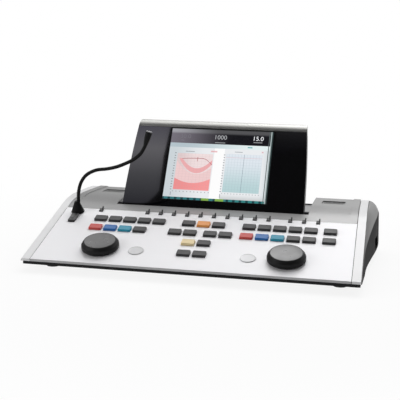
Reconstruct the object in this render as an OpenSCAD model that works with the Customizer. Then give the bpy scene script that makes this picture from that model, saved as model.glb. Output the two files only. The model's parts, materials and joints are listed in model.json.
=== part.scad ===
// Clinical audiometer console: a wedge-shaped housing with a sloping key panel,
// two stimulus dials, a raised rear deck and a fold-down colour display.
// Millimetres. +X is to the operator's right, +Y away from the operator, +Z up.
// The origin is on the table, below the middle of the instrument.

/* [Housing] */
// Width over the two end trims
trim_span = 493; // [486:1:510]
// Depth from the front edge to the back
body_depth = 366; // [362:1:376]
// Height of the key panel's front edge above the table
front_edge_h = 19.4; // [18:0.1:24]
// Slope of the key panel, in degrees
panel_slope = 18.7; // [17:0.1:20]
// Length of the key panel from its front edge up to the deck
panel_len = 168.7; // [168:0.1:172]
// Thickness of the key panel
panel_t = 2.5; // [2:0.1:3.5]
// Width of each end trim
trim_w = 12.5; // [9:0.1:14]
// Dark joint between the panel and each trim
trim_gap = 0.8; // [0.4:0.1:1.2]
// Wall of the moulded covers
wall = 3; // [2.4:0.1:4]
// Height of the feet under the tray
foot_h = 5; // [4:0.1:8]
// Radius of a foot
foot_r = 10; // [7:0.1:13]
// Distance of the feet from the middle, sideways
foot_x = 216; // [150:1:222]
// Height of the tray's upper rim above the table
rim_h = 15.8; // [14:0.1:16.4]
// How far the tray's front underside is raised
chin_rise = 6.4; // [0:0.1:7]

/* [Deck] */
// Slope at which the deck leaves the key panel, in degrees
deck_lead = 20; // [19:0.1:24]
// Distance behind the middle at which the deck becomes level
crown_y = 60; // [56:1:80]
// Radius of the deck's rear corner
rear_round = 38; // [30:1:40]
// Clear width of the bay that the folded display lies in
bay_w = 313; // [311:0.5:320]
// Width of the raised rail along each side of the deck
rail_w = 11.5; // [6:0.5:12]
// Height of the rails above the level part of the deck
rail_rise = 1.2; // [0.6:0.1:1.6]

/* [Side cheeks] */
// Thickness of a cheek at the front
cheek_t = 3.8; // [3:0.1:6]
// How far a cheek flares out towards the rear
cheek_flare = 16; // [6:0.5:20]
// Radius of a cheek's rear corner, seen from above
cheek_corner = 18; // [8:1:24]
// Height of a cheek's rounded shoulder above the crease
shoulder_drop = 20; // [12:0.5:26]
// Length of the grip pocket in each cheek
grip_len = 38; // [24:1:44]
// Height of the grip pocket
grip_h = 17; // [10:0.5:20]

/* [Display] */
// Width of the display at its lower edge
display_w = 297; // [290:0.5:300]
// Height of the glossy face up to the top band
display_face = 148.5; // [147.5:0.5:150]
// Thickness of the display
display_t = 18; // [16:0.5:20]
// Radius of the silver band that rolls over the display's upper edge
band_r = 20; // [20:0.5:22]
// How much each side draws in over the height of the face
display_draw = 6; // [3:0.5:10]
// Width of the visible screen
screen_w = 171; // [150:1:180]
// Height of the visible screen
screen_h = 128; // [110:1:129]
// Height of the screen's lower edge above the display's lower edge
screen_up = 18; // [12:0.5:19]
// Sideways offset of the screen
screen_x = 2.5; // [-5:0.5:5]
// Tilt of the display from level as it stands open, in degrees
display_tilt = 60; // [50:1:70]
// Distance of the hinge axis behind the middle
hinge_y = 14.5; // [12:0.1:17]
// Height of the hinge axis above the table
hinge_z = 80; // [79:0.1:81]
// Distance of the hinge axis up from the display's lower edge
hinge_up = 10; // [9:0.1:11]
// Distance of the hinge axis behind the display's face
hinge_in = 10.5; // [9:0.1:11]
// Radius of a hinge pin
pin_r = 2.5; // [1.5:0.1:2.8]

/* [Keys] */
// Distance from one key to the next
key_pitch = 23.6; // [22.4:0.1:24]
// Width of a key
key_w = 19.8; // [18:0.1:20.4]
// Depth of a key up the slope
key_d = 14.2; // [12:0.1:15]
// Height of a key's rear edge above the panel
key_h = 3.8; // [2.5:0.1:5]
// Play around a key in its opening
key_play = 0.35; // [0.3:0.05:0.5]
// Travel of a key
key_travel = 1; // [0.5:0.1:1.3]
// Distance up the panel to the front of the upper row of keys
upper_row = 128.3; // [126:0.1:131]
// Distance up the panel to the front of the lower row of keys
lower_row = 98.7; // [97:0.1:104]
// Distance up the panel to the front of the third row of keys
third_row = 68.7; // [60:0.1:74]
// Distance up the panel to the front of the fourth row of keys
fourth_row = 36.3; // [30:0.1:42]
// Gap between the middle keys and the side blocks
block_gap = 12.35; // [10:0.05:14]
// Gap between the right block and the separate keys beside it
lone_gap = 9.6; // [7:0.1:12]
// Gap between the two inner keys of the second row
centre_gap = 11.3; // [8:0.1:13]
// Width of the talk key
talk_w = 11.2; // [9:0.1:12]
// Depth of the talk key
talk_d = 24; // [20:0.5:26]
// Distance of the talk key and the microphone from the middle
talk_x = 211; // [208:0.5:213]

/* [Soft keys] */
// Distance from one soft key to the next
tab_pitch = 21.6; // [20:0.1:22]
// Width of a soft key
tab_w = 5.8; // [4:0.1:8]
// Distance of the outer soft keys from the middle
tab_outer_x = 174.2; // [172:0.1:178]
// Height of a soft key's fin above the panel
fin_h = 5.4; // [4:0.1:7]

/* [Dials] */
// Radius of a dial
dial_r = 28.3; // [25:0.1:29.5]
// Height of a dial
dial_h = 11.8; // [9:0.1:15]
// Distance of the dials from the middle
dial_x = 139; // [137:0.5:141]
// Distance of the dials up the panel
dial_up = 45.5; // [44:0.1:47]
// Gap between a dial and the panel
dial_gap = 0.8; // [0.5:0.1:1.5]
// Radius of a dial's shaft
shaft_r = 3; // [2:0.1:4]
// Running clearance of shafts and pins
run_fit = 0.05; // [0.02:0.01:0.09]
// Radius of a touch pad
pad_r = 11.6; // [9:0.1:13]
// Distance of the touch pads from the middle
pad_x = 83.6; // [82:0.1:86]
// Distance of the touch pads up the panel
pad_up = 43.2; // [40:0.1:46]

/* [Microphone] */
// Distance of the microphone's socket up the panel
boot_up = 155; // [153:0.1:156]
// Radius of the boot where it meets the panel
boot_r = 10.6; // [8:0.1:11]
// Height of the boot
boot_h = 19; // [16:0.1:20]
// Diameter of the gooseneck
neck_d = 5.6; // [4:0.1:7]
// Diameter of the microphone's capsule
capsule_d = 8.6; // [7:0.1:11]
// Length of the microphone's capsule
capsule_len = 21; // [16:0.5:26]

/* [Connectors] */
// Radius of a jack's bore
jack_r = 3.25; // [3.2:0.05:3.4]
// Depth of a jack's bore
jack_depth = 14; // [10:0.5:18]
// Distance from one jack to the next
jack_pitch = 22; // [18:0.5:24]
// Width of the connector window in the back
window_w = 330; // [320:1:360]
// Height of the connector window
window_h = 22; // [21:0.5:23]

/* [Hidden] */

// Roundness of small and of large circles
$fn = 48;
fine = 256;
// Small overlaps that make cuts and unions clean
eps = 0.5;
lap = 1;

// Housing
front_y = -body_depth / 2;
rear_y = body_depth / 2;
half_span = trim_span / 2;
panel_half = half_span - trim_w - trim_gap;
tray_half = half_span - 0.5;
tray_z = foot_h;
floor_z = tray_z + wall;
chin_z = tray_z + chin_rise;
chin_len = 40;
foot_inset = 50;
tray_corner = 6;

// A point of the side view, given up the panel and square to it
function panel_pt(u, h = 0) = [
    front_y + u * cos(panel_slope) - h * sin(panel_slope),
    front_edge_h + u * sin(panel_slope) + h * cos(panel_slope)
];
deck_y = panel_pt(panel_len)[0];
deck_z = panel_pt(panel_len)[1];
crown_r = (crown_y - deck_y) / sin(deck_lead);
crown_z = deck_z + crown_r * (1 - cos(deck_lead));
round_y = rear_y - rear_round;
round_z = crown_z - rear_round;
function deck_h(y) =
    y < crown_y ? crown_z - crown_r + sqrt(pow(crown_r, 2) - pow(crown_y - y, 2))
    : y < round_y ? crown_z
    : round_z + sqrt(max(0, pow(rear_round, 2) - pow(y - round_y, 2)));
function flank_h(y) = y < deck_y ? front_edge_h + (y - front_y) * tan(panel_slope) : deck_h(y);

// Upright joint between the key panel and the deck
deck_joint = 0.15;

// Bay of the display
bay_gap = 1;
swing_r = norm([hinge_up, hinge_in]);
heel_r = norm([hinge_up, display_t - hinge_in]);
bay_front_y = hinge_y - swing_r - bay_gap;
trough_z = hinge_z - heel_r - 2;
trough_end_y = hinge_y + heel_r + 4;
closed_back_z = hinge_z + hinge_in - display_t;
bay_floor_z = closed_back_z - 1.4;
display_len = display_face + sqrt(pow(band_r, 2) - pow(band_r - display_t, 2));
bay_end_y = hinge_y - hinge_up + display_len + 2.4;
hinge_boss_r = pin_r + 3;
hinge_boss_len = 9;
hinge_boss_drop = 2.2;

// Rails of the deck: an arc that leaves the deck behind its front edge
rail_start_y = deck_y + 15;
rail_lead = 6;
rail_half_y = crown_y - rail_start_y;
rail_drop = crown_z + rail_rise - deck_h(rail_start_y);
rail_r = (pow(rail_half_y, 2) + pow(rail_drop, 2)) / (2 * rail_drop);
rail_edge = 0.5;
rail_end = 0.6;
rail_sink = 1.5;

// Display
bezel_t = 2;
glass_sink = 0.6;
glass_play = 0.2;
shell_wall = 2.5;
lcd_t = 6;
lcd_rim = 3;
heel_round = 2;
band_round = 3;
band_gap = 0.4;
display_half = display_w / 2;
display_boss_len = 12;
display_boss_x = display_half - 7.5;
side_r = (pow(display_face, 2) + pow(display_draw, 2)) / (2 * display_draw);
pin_end = bay_w / 2 + hinge_boss_len - 1;
pin_start = display_boss_x - display_boss_len / 2 + 1.5;

// Keys
board_edge = 5;
board_front = 12;
board_back = 6;
key_corner = 1.2;
flange_lip = 0.8;
flange_t = 1.5;
flange_gap = 0.3;
stem_w = 6;
stem_d = 6;
board_t = 1.6;
stem_gap = key_travel + 0.3;
board_top = -panel_t - flange_gap - flange_t - 2.2 - stem_gap;
stem_end = board_top + stem_gap;
pair_x = centre_gap / 2 + key_w / 2;
block_x = pair_x + key_pitch + key_w + block_gap;
function left_x(i) = -block_x - (4 - i) * key_pitch;
function right_x(i) = block_x + i * key_pitch;
lone_x = right_x(4) + key_w + lone_gap;
talk_up = boot_up - boot_r - 0.6 - talk_d;

// Every key's place: [x, distance up the panel to its front]
key_places = concat(
    [for (i = [0:4]) [left_x(i), upper_row]],
    [for (i = [0:3]) [left_x(i), lower_row]],
    [for (i = [-1:1]) [i * key_pitch, upper_row]],
    [for (i = [0:1]) [-pair_x - (1 - i) * key_pitch, lower_row]],
    [for (i = [0:1]) [pair_x + i * key_pitch, lower_row]],
    [for (i = [-0.5:0.5]) [i * key_pitch, third_row]],
    [for (i = [-0.5:0.5]) [i * key_pitch, fourth_row]],
    [for (i = [0:4]) [right_x(i), upper_row]],
    [[lone_x, upper_row]],
    [for (i = [0:4]) [right_x(i), lower_row]],
    [[lone_x, lower_row]]
);

// Soft keys at the panel's upper edge
tab_d = 8;
tab_h = 2.6;
fin_t = 1.8;
tab_end = panel_len - 0.6;
tab_root = -panel_t - flange_gap - 0.2;
tab_lean = (tab_h - 0.6 - tab_root) * tan(panel_slope);
screen_tabs = [for (i = [0:9]) (i - 4.5) * tab_pitch];
right_tabs = [for (i = [2:-1:0]) tab_outer_x - i * tab_pitch];
left_tabs = [-tab_outer_x];

// Dials
encoder_w = 16;
encoder_h = 8;
pad_sink = 1;
pad_h = 1.1;

// Connectors
window_x = 0;
window_z = rim_h + wall + 2 + window_h / 2;
socket_plate_t = 2;
socket_y = rear_y - wall - socket_plate_t;
jack_xs = [for (i = [0:5]) -110 + i * jack_pitch];
usb_x = 40;
usb_w = 12;
usb_h = 10.6;
inlet_x = 130;
inlet_w = 27;
inlet_h = 19;
inlet_depth = 16;
switch_x = 98;
switch_w = 12;
switch_h = 18;
switch_play = 0.4;
trunnion_r = 1.4;
trunnion_play = 0.1;

// Grilles of the loudspeakers
grille_w = 38;
grille_d = 34;
grille_x = 190;
grille_y = 96;
grille_sink = 3;
grille_corner = 3;
grille_t = 1.5;
grille_slot = 2;
grille_pitch = 4.6;
grille_slant = 35;
grille_slots = [-5:5];

// Main circuit board on the tray's posts: its blocks are [x, y, width, depth, height]
main_board_w = 280;
main_board_d = 120;
main_board_y = 80;
main_board_z = floor_z + 8;
board_post_r = 4;
board_post_x = main_board_w / 2 - 10;
board_posts_y = [main_board_y - main_board_d / 2 + 10, main_board_y + main_board_d / 2 - 10];
board_blocks = [[60, -30, 52, 44, 26], [-20, -26, 46, 46, 8], [-116, -34, 60, 30, 12]];

// Standoffs between the key panel and the circuit board, [x, distance up the panel]
standoff_r = 3;
standoffs = [[-222, 20], [-222, 90], [-105, 60], [-105, 118], [0, 92], [105, 60], [105, 118],
    [222, 20], [222, 90], [-50, 150], [50, 150]];

// Colours
plate_silver = "gainsboro";
deck_grey = "darkgray";
cheek_grey = "dimgray";
black = [0.08, 0.08, 0.08];
key_grey = [0.32, 0.32, 0.33];
key_red = [0.72, 0.27, 0.27];
key_blue = [0.22, 0.42, 0.68];
key_cyan = [0.22, 0.55, 0.66];
key_orange = [0.94, 0.6, 0.35];
key_cream = [0.96, 0.86, 0.66];

// Gooseneck: points of its centre line from the middle of the boot's top, chosen by hand
neck_route = [[1, 3, -7], [0.5, 2, 5], [1.5, 1, 18], [6, 0, 32], [16, -1, 44], [33, -3, 52],
    [51, -5, 55], [67, -8, 59], [82, -11, 65], [96, -15, 73], [107, -18, 83], [114, -21, 94],
    [119, -24, 106]];
neck_sides = 10;
neck_steps = 4;
neck_side = [0, 1, 0];
boot_top = panel_pt(boot_up, boot_h);
neck_root = [-talk_x, boot_top[0], boot_top[1]];
neck_last = len(neck_route) - 1;
neck_end = neck_root + neck_route[neck_last];
function unit(v) = v / norm(v);
// Smooth curve through four points of the route
function catmull(p0, p1, p2, p3, t) = 0.5 * (2 * p1 + (p2 - p0) * t
    + (2 * p0 - 5 * p1 + 4 * p2 - p3) * t * t + (3 * p1 - p0 - 3 * p2 + p3) * t * t * t);
neck_line = [for (i = [0:neck_last - 1]) for (k = [0:neck_steps - 1])
    neck_root + catmull(neck_route[max(0, i - 1)], neck_route[i], neck_route[i + 1],
        neck_route[min(neck_last, i + 2)], k / neck_steps)];
neck_path = concat(neck_line, [neck_end]);
function neck_dir(i) = unit(neck_path[min(len(neck_path) - 1, i + 1)] - neck_path[max(0, i - 1)]);
function neck_ring(i) =
    let(d = neck_dir(i), a = unit(cross(d, neck_side)), b = cross(d, a))
    [for (k = [0:neck_sides - 1])
        let(w = 360 * k / neck_sides)
        neck_path[i] + neck_d / 2 * (cos(w) * a + sin(w) * b)];
capsule_dir = unit([6, -4, 14]);

// Cheeks: sections from front to rear, each with a wall, a crease and a rounded shoulder
cheek_steps = 34;
cheek_arc = 7;
cheek_arc_end = 64;
cheek_run = 60;
flare_start = front_y + 70;
flare_end = rear_y - 40;
crease_start = -60;
crease_run = 180;
grip_y = 81;
grip_z = rim_h + 13;
grip_depth = 8;
grip_corner = 4;
function ease(t) = t * t * (3 - 2 * t);
function part_of(y, start, run) = min(1, max(0, (y - start) / run));
function flare(y) = cheek_flare * ease(part_of(y, flare_start, flare_end - flare_start));
function corner_in(y) =
    y < rear_y - cheek_corner ? 0
    : cheek_corner - sqrt(max(0, pow(cheek_corner, 2) - pow(y - rear_y + cheek_corner, 2)));
function cheek_root(y) = cheek_t * (0.4 + 0.6 * part_of(y, front_y, cheek_run));
function cheek_out(y) = max(cheek_t * 0.4, cheek_root(y) + flare(y) - corner_in(y));
function crease_out(y) = cheek_out(y) * (0.25 + 0.65 * part_of(y, crease_start, crease_run));
function cheek_top(y) = flank_h(y) - 0.5;
function cheek_drop(y) = min(shoulder_drop, (cheek_top(y) - rim_h) * 0.8);
cheek_ys = concat(
    [for (i = [0:cheek_steps]) front_y + (round_y - front_y) * i / cheek_steps],
    [for (a = [8:8:88]) round_y + rear_round * sin(a)],
    [rear_y]
);
function cheek_ring(y) = concat(
    [[0, y, rim_h], [cheek_out(y) - 0.6, y, rim_h], [cheek_out(y), y, rim_h + 0.6]],
    [for (i = [cheek_arc:-1:0])
        let(a = cheek_arc_end * i / cheek_arc)
        [crease_out(y) * sin(a) / sin(cheek_arc_end), y,
            cheek_top(y) - cheek_drop(y) * (1 - cos(a)) / (1 - cos(cheek_arc_end))]]
);

// Places children in the panel's own frame: x, distance up the panel, height above it
module on_panel()
    translate([0, front_y, front_edge_h])
        rotate([panel_slope, 0, 0])
            children();

// Places children in the display's own frame: x, distance up its face, height above it
module on_display()
    translate([0, hinge_y, hinge_z])
        rotate([display_tilt, 0, 0])
            translate([0, -hinge_up, hinge_in])
                children();

// Extrudes a side view (y, z) to a width, centred on x
module along_x(w)
    rotate([90, 0, 90])
        linear_extrude(height = w, center = true)
            children();

// Flat rectangle with true round corners, centred
module round_rect(w, d, r) {
    square([w - 2 * r, d], center = true);
    square([w, d - 2 * r], center = true);
    for (x = [-1, 1], y = [-1, 1])
        translate([x * (w / 2 - r), y * (d / 2 - r)])
            circle(r = r);
}

// Side view of the deck, drawn in by an inset and reaching down to the rim
module deck_outline(inset = 0) {
    intersection() {
        translate([crown_y, crown_z - crown_r])
            circle(r = crown_r - inset, $fn = fine);
        translate([deck_y, rim_h])
            square([crown_y - deck_y, crown_z - rim_h]);
    }
    translate([crown_y, rim_h])
        square([round_y - crown_y, crown_z - inset - rim_h]);
    translate([round_y, rim_h])
        square([rear_round - inset, round_z - rim_h]);
    intersection() {
        translate([round_y, round_z])
            circle(r = rear_round - inset, $fn = fine);
        translate([round_y, round_z])
            square(rear_round);
    }
}

// Side view of a deck rail, sunk into the deck's wall
module rail_outline()
    difference() {
        union() {
            intersection() {
                translate([crown_y, crown_z + rail_rise - rail_r])
                    circle(r = rail_r, $fn = fine);
                translate([rail_start_y - rail_lead, rim_h])
                    square([crown_y - rail_start_y + rail_lead + lap, crown_z]);
            }
            translate([crown_y, rim_h])
                square([round_y - crown_y, crown_z + rail_rise - rim_h]);
            intersection() {
                translate([round_y, round_z + rail_rise])
                    circle(r = rear_round, $fn = fine);
                translate([round_y - lap, round_z])
                    square([rear_round - rail_end + lap, rear_round + 2 * rail_rise]);
            }
        }
        deck_outline(rail_sink);
        translate([crown_y - lap, rim_h])
            square([round_y - crown_y + 2 * lap, crown_z - rail_sink - lap - rim_h]);
        translate([deck_y - lap, 0])
            square([body_depth, round_z + lap]);
    }

// Side view of the wedge under the key panel, drawn in by an inset
module wedge_outline(inset = 0) {
    start_u = inset * (1 - sin(panel_slope)) / cos(panel_slope);
    polygon([
        [front_y + inset, rim_h],
        panel_pt(start_u, -inset),
        panel_pt(panel_len, -inset),
        [deck_y + lap, deck_z - inset],
        [deck_y + lap, rim_h]
    ]);
}

// Side view of the space inside the covers, open at the rim
module hollow_outline(inset) {
    deck_outline(inset);
    wedge_outline(inset);
    translate([deck_y - lap, rim_h - lap])
        square([2 * lap, deck_z - inset * 1.1 - rim_h]);
    translate([front_y + inset, rim_h - lap])
        square([body_depth - 2 * inset, 2 * lap]);
    translate([crown_y - lap, rim_h])
        square([2 * lap, crown_z - inset - lap - rim_h]);
    translate([round_y - lap, rim_h])
        square([2 * lap, crown_z - inset - lap - rim_h]);
}

// Side view of the display's bay, grown by a margin
module bay_outline(grow = 0)
    polygon([
        [bay_front_y - grow, crown_z + 20],
        [bay_front_y - grow, trough_z - grow],
        [trough_end_y + grow, trough_z - grow],
        [trough_end_y + grow + 6, bay_floor_z - grow],
        [bay_end_y + grow, bay_floor_z - grow],
        [bay_end_y + grow, crown_z + 20]
    ]);

// Black tray that carries everything
module base_tray() color(black) {
    difference() {
        intersection() {
            along_x(2 * tray_half)
                polygon([
                    [front_y, rim_h],
                    [front_y, chin_z],
                    [front_y + chin_len, tray_z],
                    [rear_y, tray_z],
                    [rear_y, rim_h]
                ]);
            linear_extrude(height = rim_h + 1)
                round_rect(2 * tray_half, body_depth, tray_corner);
            translate([0, rear_y + 1, rim_h])
                rotate([90, 0, 0])
                    linear_extrude(height = body_depth + 2)
                        round_rect(2 * tray_half, 2 * (rim_h - tray_z), tray_corner);
        }
        along_x(2 * (tray_half - wall))
            polygon([
                [front_y + wall, rim_h + 1],
                [front_y + wall, chin_z + wall],
                [front_y + chin_len + wall, floor_z],
                [rear_y - wall, floor_z],
                [rear_y - wall, rim_h + 1]
            ]);
    }
    for (x = [-1, 1], y = board_posts_y)
        translate([x * board_post_x, y, floor_z - eps])
            cylinder(r = board_post_r, h = main_board_z - floor_z + eps);
}

// Main circuit board with its mains transformer, processor cover and power stage
module main_board() color("darkgreen") {
    translate([-main_board_w / 2, main_board_y - main_board_d / 2, main_board_z])
        cube([main_board_w, main_board_d, board_t]);
    for (b = board_blocks)
        translate([b[0], main_board_y + b[1], main_board_z + board_t - 0.01])
            cube([b[2], b[3], b[4]]);
}

// Four rubber feet
module feet() color(black)
    for (x = [-1, 1], y = [front_y + foot_inset, rear_y - foot_inset])
        translate([x * foot_x, y, 0])
            rotate_extrude()
                polygon([[0, 0], [foot_r - 1, 0], [foot_r, 1.2], [foot_r, foot_h], [0, foot_h]]);

// Outline of a key's opening, with its front edge on the x axis
module key_hole(w, d)
    translate([-w / 2 - key_play, -key_play])
        square([w + 2 * key_play, d + 2 * key_play]);

// Brushed metal key panel with its front lip and standoffs, cut upright where it meets the deck
module control_plate() color(plate_silver) {
    difference() {
        panel_sheet();
        translate([-half_span, deck_y - deck_joint, deck_z - 2 * wall])
            cube([trim_span, 2 * wall, 4 * wall]);
    }
    on_panel()
        for (p = standoffs)
            translate([p[0], p[1], board_top])
                cylinder(r = standoff_r, h = -panel_t - board_top + eps);
    along_x(2 * panel_half)
        polygon([
            [front_y, rim_h],
            [front_y, front_edge_h - 0.6],
            panel_pt(0.8),
            panel_pt(4),
            panel_pt(4, -panel_t),
            [front_y + wall, front_edge_h - wall + 1],
            [front_y + wall, rim_h]
        ]);
}

// Sloping sheet of the key panel with the openings of keys, shafts and pads
module panel_sheet()
    on_panel()
        difference() {
            translate([0, 0, -panel_t])
                linear_extrude(height = panel_t)
                    difference() {
                        translate([-panel_half, 1])
                            square([2 * panel_half, panel_len]);
                        for (p = key_places)
                            translate(p)
                                key_hole(key_w, key_d);
                        translate([-talk_x, talk_up])
                            key_hole(talk_w, talk_d);
                        for (x = concat(left_tabs, screen_tabs, right_tabs))
                            translate([x - tab_w / 2 - key_play, tab_end - tab_d - key_play])
                                square([tab_w + 2 * key_play, tab_d + 3]);
                        for (x = [-1, 1])
                            translate([x * dial_x, dial_up])
                                circle(r = shaft_r + 1);
                    }
            for (x = [-1, 1])
                translate([x * pad_x, pad_up, -pad_sink])
                    cylinder(r = pad_r + 0.2, h = pad_sink + 1);
        }

// Circuit board under the keys
module key_circuit_board() color("darkgreen")
    on_panel()
        translate([0, 0, board_top - board_t])
            linear_extrude(height = board_t)
                difference() {
                    translate([board_edge - panel_half, board_front])
                        square([2 * (panel_half - board_edge), panel_len - board_front - board_back]);
                    for (x = [-1, 1])
                        translate([x * dial_x, dial_up])
                            square(encoder_w + 1, center = true);
                }

// Rotary encoders of the two dials
module dial_encoders() color("silver")
    on_panel()
        for (x = [-1, 1])
            translate([x * dial_x, dial_up, -panel_t - encoder_h])
                difference() {
                    translate([-encoder_w / 2, -encoder_w / 2, 0])
                        cube([encoder_w, encoder_w, encoder_h]);
                    translate([0, 0, -1])
                        cylinder(r = shaft_r + run_fit, h = encoder_h + 2);
                }

// One dial: a belled rubber wheel with a dished top and its shaft
module dial(x) on_panel()
    translate([x, dial_up, dial_gap]) {
        rotate_extrude($fn = 96)
            union() {
                polygon([
                    [0, 0], [dial_r - 1.6, 0], [dial_r - 0.3, 2], [dial_r, 5],
                    [dial_r - 0.5, dial_h - 3.4], [dial_r - 3.2, dial_h - 0.6],
                    [dial_r - 5, dial_h], [dial_r - 8, dial_h - 0.5], [0, dial_h - 0.9]
                ]);
                translate([dial_r - 3.4, dial_h - 3])
                    circle(r = 2.6);
            }
        translate([0, 0, -dial_gap - panel_t - encoder_h + 0.5])
            cylinder(r = shaft_r, h = dial_gap + panel_t + encoder_h);
    }
module left_dial() color(black) dial(-dial_x);
module right_dial() color(black) dial(dial_x);

// Silver touch pads beside the dials
module touch_pads() color("silver")
    on_panel()
        for (x = [-1, 1])
            translate([x * pad_x, pad_up, -pad_sink])
                rotate_extrude($fn = 96)
                    polygon([[0, 0], [pad_r, 0], [pad_r, pad_sink + pad_h - 0.5],
                        [pad_r - 0.5, pad_sink + pad_h], [pad_r - 1.3, pad_sink + pad_h],
                        [pad_r - 2, pad_sink + pad_h - 0.4], [0, pad_sink + pad_h - 0.4]]);

// One key: a wedge-shaped cap, its retaining flange and the stem that works the contact
module key_cap(w, d, h) {
    intersection() {
        along_x(w)
            polygon([[0, -panel_t], [0, 0.8], [0.9, h - 1.9], [2.6, h - 0.9],
                [d - 1.6, h], [d - 0.5, h - 0.5], [d, h - 1.6], [d, -panel_t]]);
        translate([0, d / 2, -panel_t - 1])
            linear_extrude(height = h + panel_t + 2)
                round_rect(w, d, key_corner);
    }
    translate([-w / 2 - flange_lip, -flange_lip, -panel_t - flange_gap - flange_t])
        cube([w + 2 * flange_lip, d + 2 * flange_lip, flange_t]);
    translate([-stem_w / 2, d / 2 - stem_d / 2, stem_end])
        cube([stem_w, stem_d, -stem_end - panel_t + 0.1]);
    translate([-w / 2 + 1, 1, -panel_t - flange_gap - 0.1])
        cube([w - 2, d - 2, flange_gap + 0.2]);
}
module panel_key(i)
    on_panel()
        translate([key_places[i][0], key_places[i][1], 0])
            key_cap(key_w, key_d, key_h);
module left_upper_key_1() color(key_grey) panel_key(0);
module left_upper_key_2() color(key_grey) panel_key(1);
module left_upper_key_3() color(key_grey) panel_key(2);
module left_upper_key_4() color(key_grey) panel_key(3);
module left_upper_key_5() color(key_grey) panel_key(4);
module left_lower_key_1() color(key_red) panel_key(5);
module left_lower_key_2() color(key_blue) panel_key(6);
module left_lower_key_3() color(key_cyan) panel_key(7);
module left_lower_key_4() color(key_grey) panel_key(8);
module centre_key_1() color(key_grey) panel_key(9);
module centre_key_2() color(key_orange) panel_key(10);
module centre_key_3() color(key_grey) panel_key(11);
module centre_key_4() color(key_grey) panel_key(12);
module centre_key_5() color(key_grey) panel_key(13);
module centre_key_6() color(key_grey) panel_key(14);
module centre_key_7() color(key_grey) panel_key(15);
module centre_key_8() color(key_cream) panel_key(16);
module centre_key_9() color(key_grey) panel_key(17);
module centre_key_10() color(key_grey) panel_key(18);
module centre_key_11() color(key_grey) panel_key(19);
module right_upper_key_1() color(key_grey) panel_key(20);
module right_upper_key_2() color(key_grey) panel_key(21);
module right_upper_key_3() color(key_grey) panel_key(22);
module right_upper_key_4() color(key_grey) panel_key(23);
module right_upper_key_5() color(key_grey) panel_key(24);
module right_upper_key_6() color(key_grey) panel_key(25);
module right_lower_key_1() color(key_red) panel_key(26);
module right_lower_key_2() color(key_blue) panel_key(27);
module right_lower_key_3() color(key_cyan) panel_key(28);
module right_lower_key_4() color(key_grey) panel_key(29);
module right_lower_key_5() color(key_grey) panel_key(30);
module right_lower_key_6() color(key_grey) panel_key(31);

// Long talk key in front of the microphone
module talk_key() color(black)
    on_panel()
        translate([-talk_x, talk_up, 0])
            key_cap(talk_w, talk_d, key_h);

// Soft keys on a common moulded web under the panel's upper edge
module soft_keys(xs) on_panel() {
    for (x = xs) {
        translate([x, tab_end - tab_d, 0])
            along_x(tab_w)
                polygon([[0, tab_root], [0, 0.6], [0.8, 1.4], [tab_d - 0.8, tab_h],
                    [tab_d, tab_h - 0.6], [tab_d - tab_lean, tab_root]]);
        translate([x + tab_w / 2 - fin_t / 2, tab_end - tab_d, 0])
            along_x(fin_t)
                polygon([[3, 0.5], [3.6, 2.4], [6.4, fin_h - 1], [8.6, fin_h],
                    [9.4, fin_h - 0.6], [8, 1]]);
    }
    web_x0 = min(xs) - tab_w / 2 - flange_lip;
    web_x1 = max(xs) + tab_w / 2 + flange_lip;
    translate([web_x0, tab_end - tab_d - flange_lip, -panel_t - flange_gap - flange_t])
        cube([web_x1 - web_x0, tab_d - 1, flange_t]);
}
module left_soft_key() color(black) soft_keys(left_tabs);
module screen_soft_keys() color(black) soft_keys(screen_tabs);
module right_soft_keys() color(black) soft_keys(right_tabs);

// Places children at each loudspeaker grille, on the level part of the deck
module at_grilles()
    for (x = [-1, 1])
        translate([x * grille_x, grille_y, crown_z])
            children();

// Grey rear housing with the display's bay, hinge bosses and grille pockets
module rear_housing() color(deck_grey) {
    housing_w = 2 * panel_half;
    difference() {
        union() {
            difference() {
                along_x(housing_w)
                    deck_outline();
                along_x(housing_w - 2 * wall)
                    hollow_outline(wall);
            }
            along_x(bay_w + 2 * wall)
                intersection() {
                    deck_outline();
                    bay_outline(wall);
                }
            for (x = [-1, 1])
                translate([x * (bay_w / 2 + hinge_boss_len / 2), hinge_y, hinge_z - hinge_boss_drop])
                    rotate([0, 90, 0])
                        cylinder(r = hinge_boss_r, h = hinge_boss_len, center = true);
            at_grilles()
                translate([-grille_w / 2 - wall, -grille_d / 2 - wall, -grille_sink - wall])
                    cube([grille_w + 2 * wall, grille_d + 2 * wall, grille_sink + wall]);
            for (side = [-1, 1])
                translate([side * (panel_half - rail_edge - rail_w / 2), 0, 0])
                    along_x(rail_w)
                        rail_outline();
        }
        along_x(bay_w)
            bay_outline();
        translate([0, hinge_y, hinge_z])
            rotate([0, 90, 0])
                cylinder(r = pin_r + run_fit, h = bay_w + 2 * hinge_boss_len - 1, center = true);
        at_grilles()
            translate([0, 0, -grille_sink])
                linear_extrude(height = grille_sink + 1)
                    round_rect(grille_w, grille_d, grille_corner);
        translate([window_x - window_w / 2, rear_y - wall - 1, window_z - window_h / 2])
            cube([window_w, wall + 2, window_h]);
    }
}

// Loudspeaker grilles: a sunk plate with slanting slots
module speaker_grilles() color(cheek_grey)
    at_grilles()
        translate([0, 0, -grille_sink])
            linear_extrude(height = grille_t)
                difference() {
                    round_rect(grille_w - 0.4, grille_d - 0.4, grille_corner - 0.2);
                    intersection() {
                        square([grille_w - 6, grille_d - 6], center = true);
                        for (i = grille_slots)
                            rotate(grille_slant)
                                translate([-grille_w, i * grille_pitch])
                                    square([2 * grille_w, grille_slot]);
                    }
                }

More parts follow.
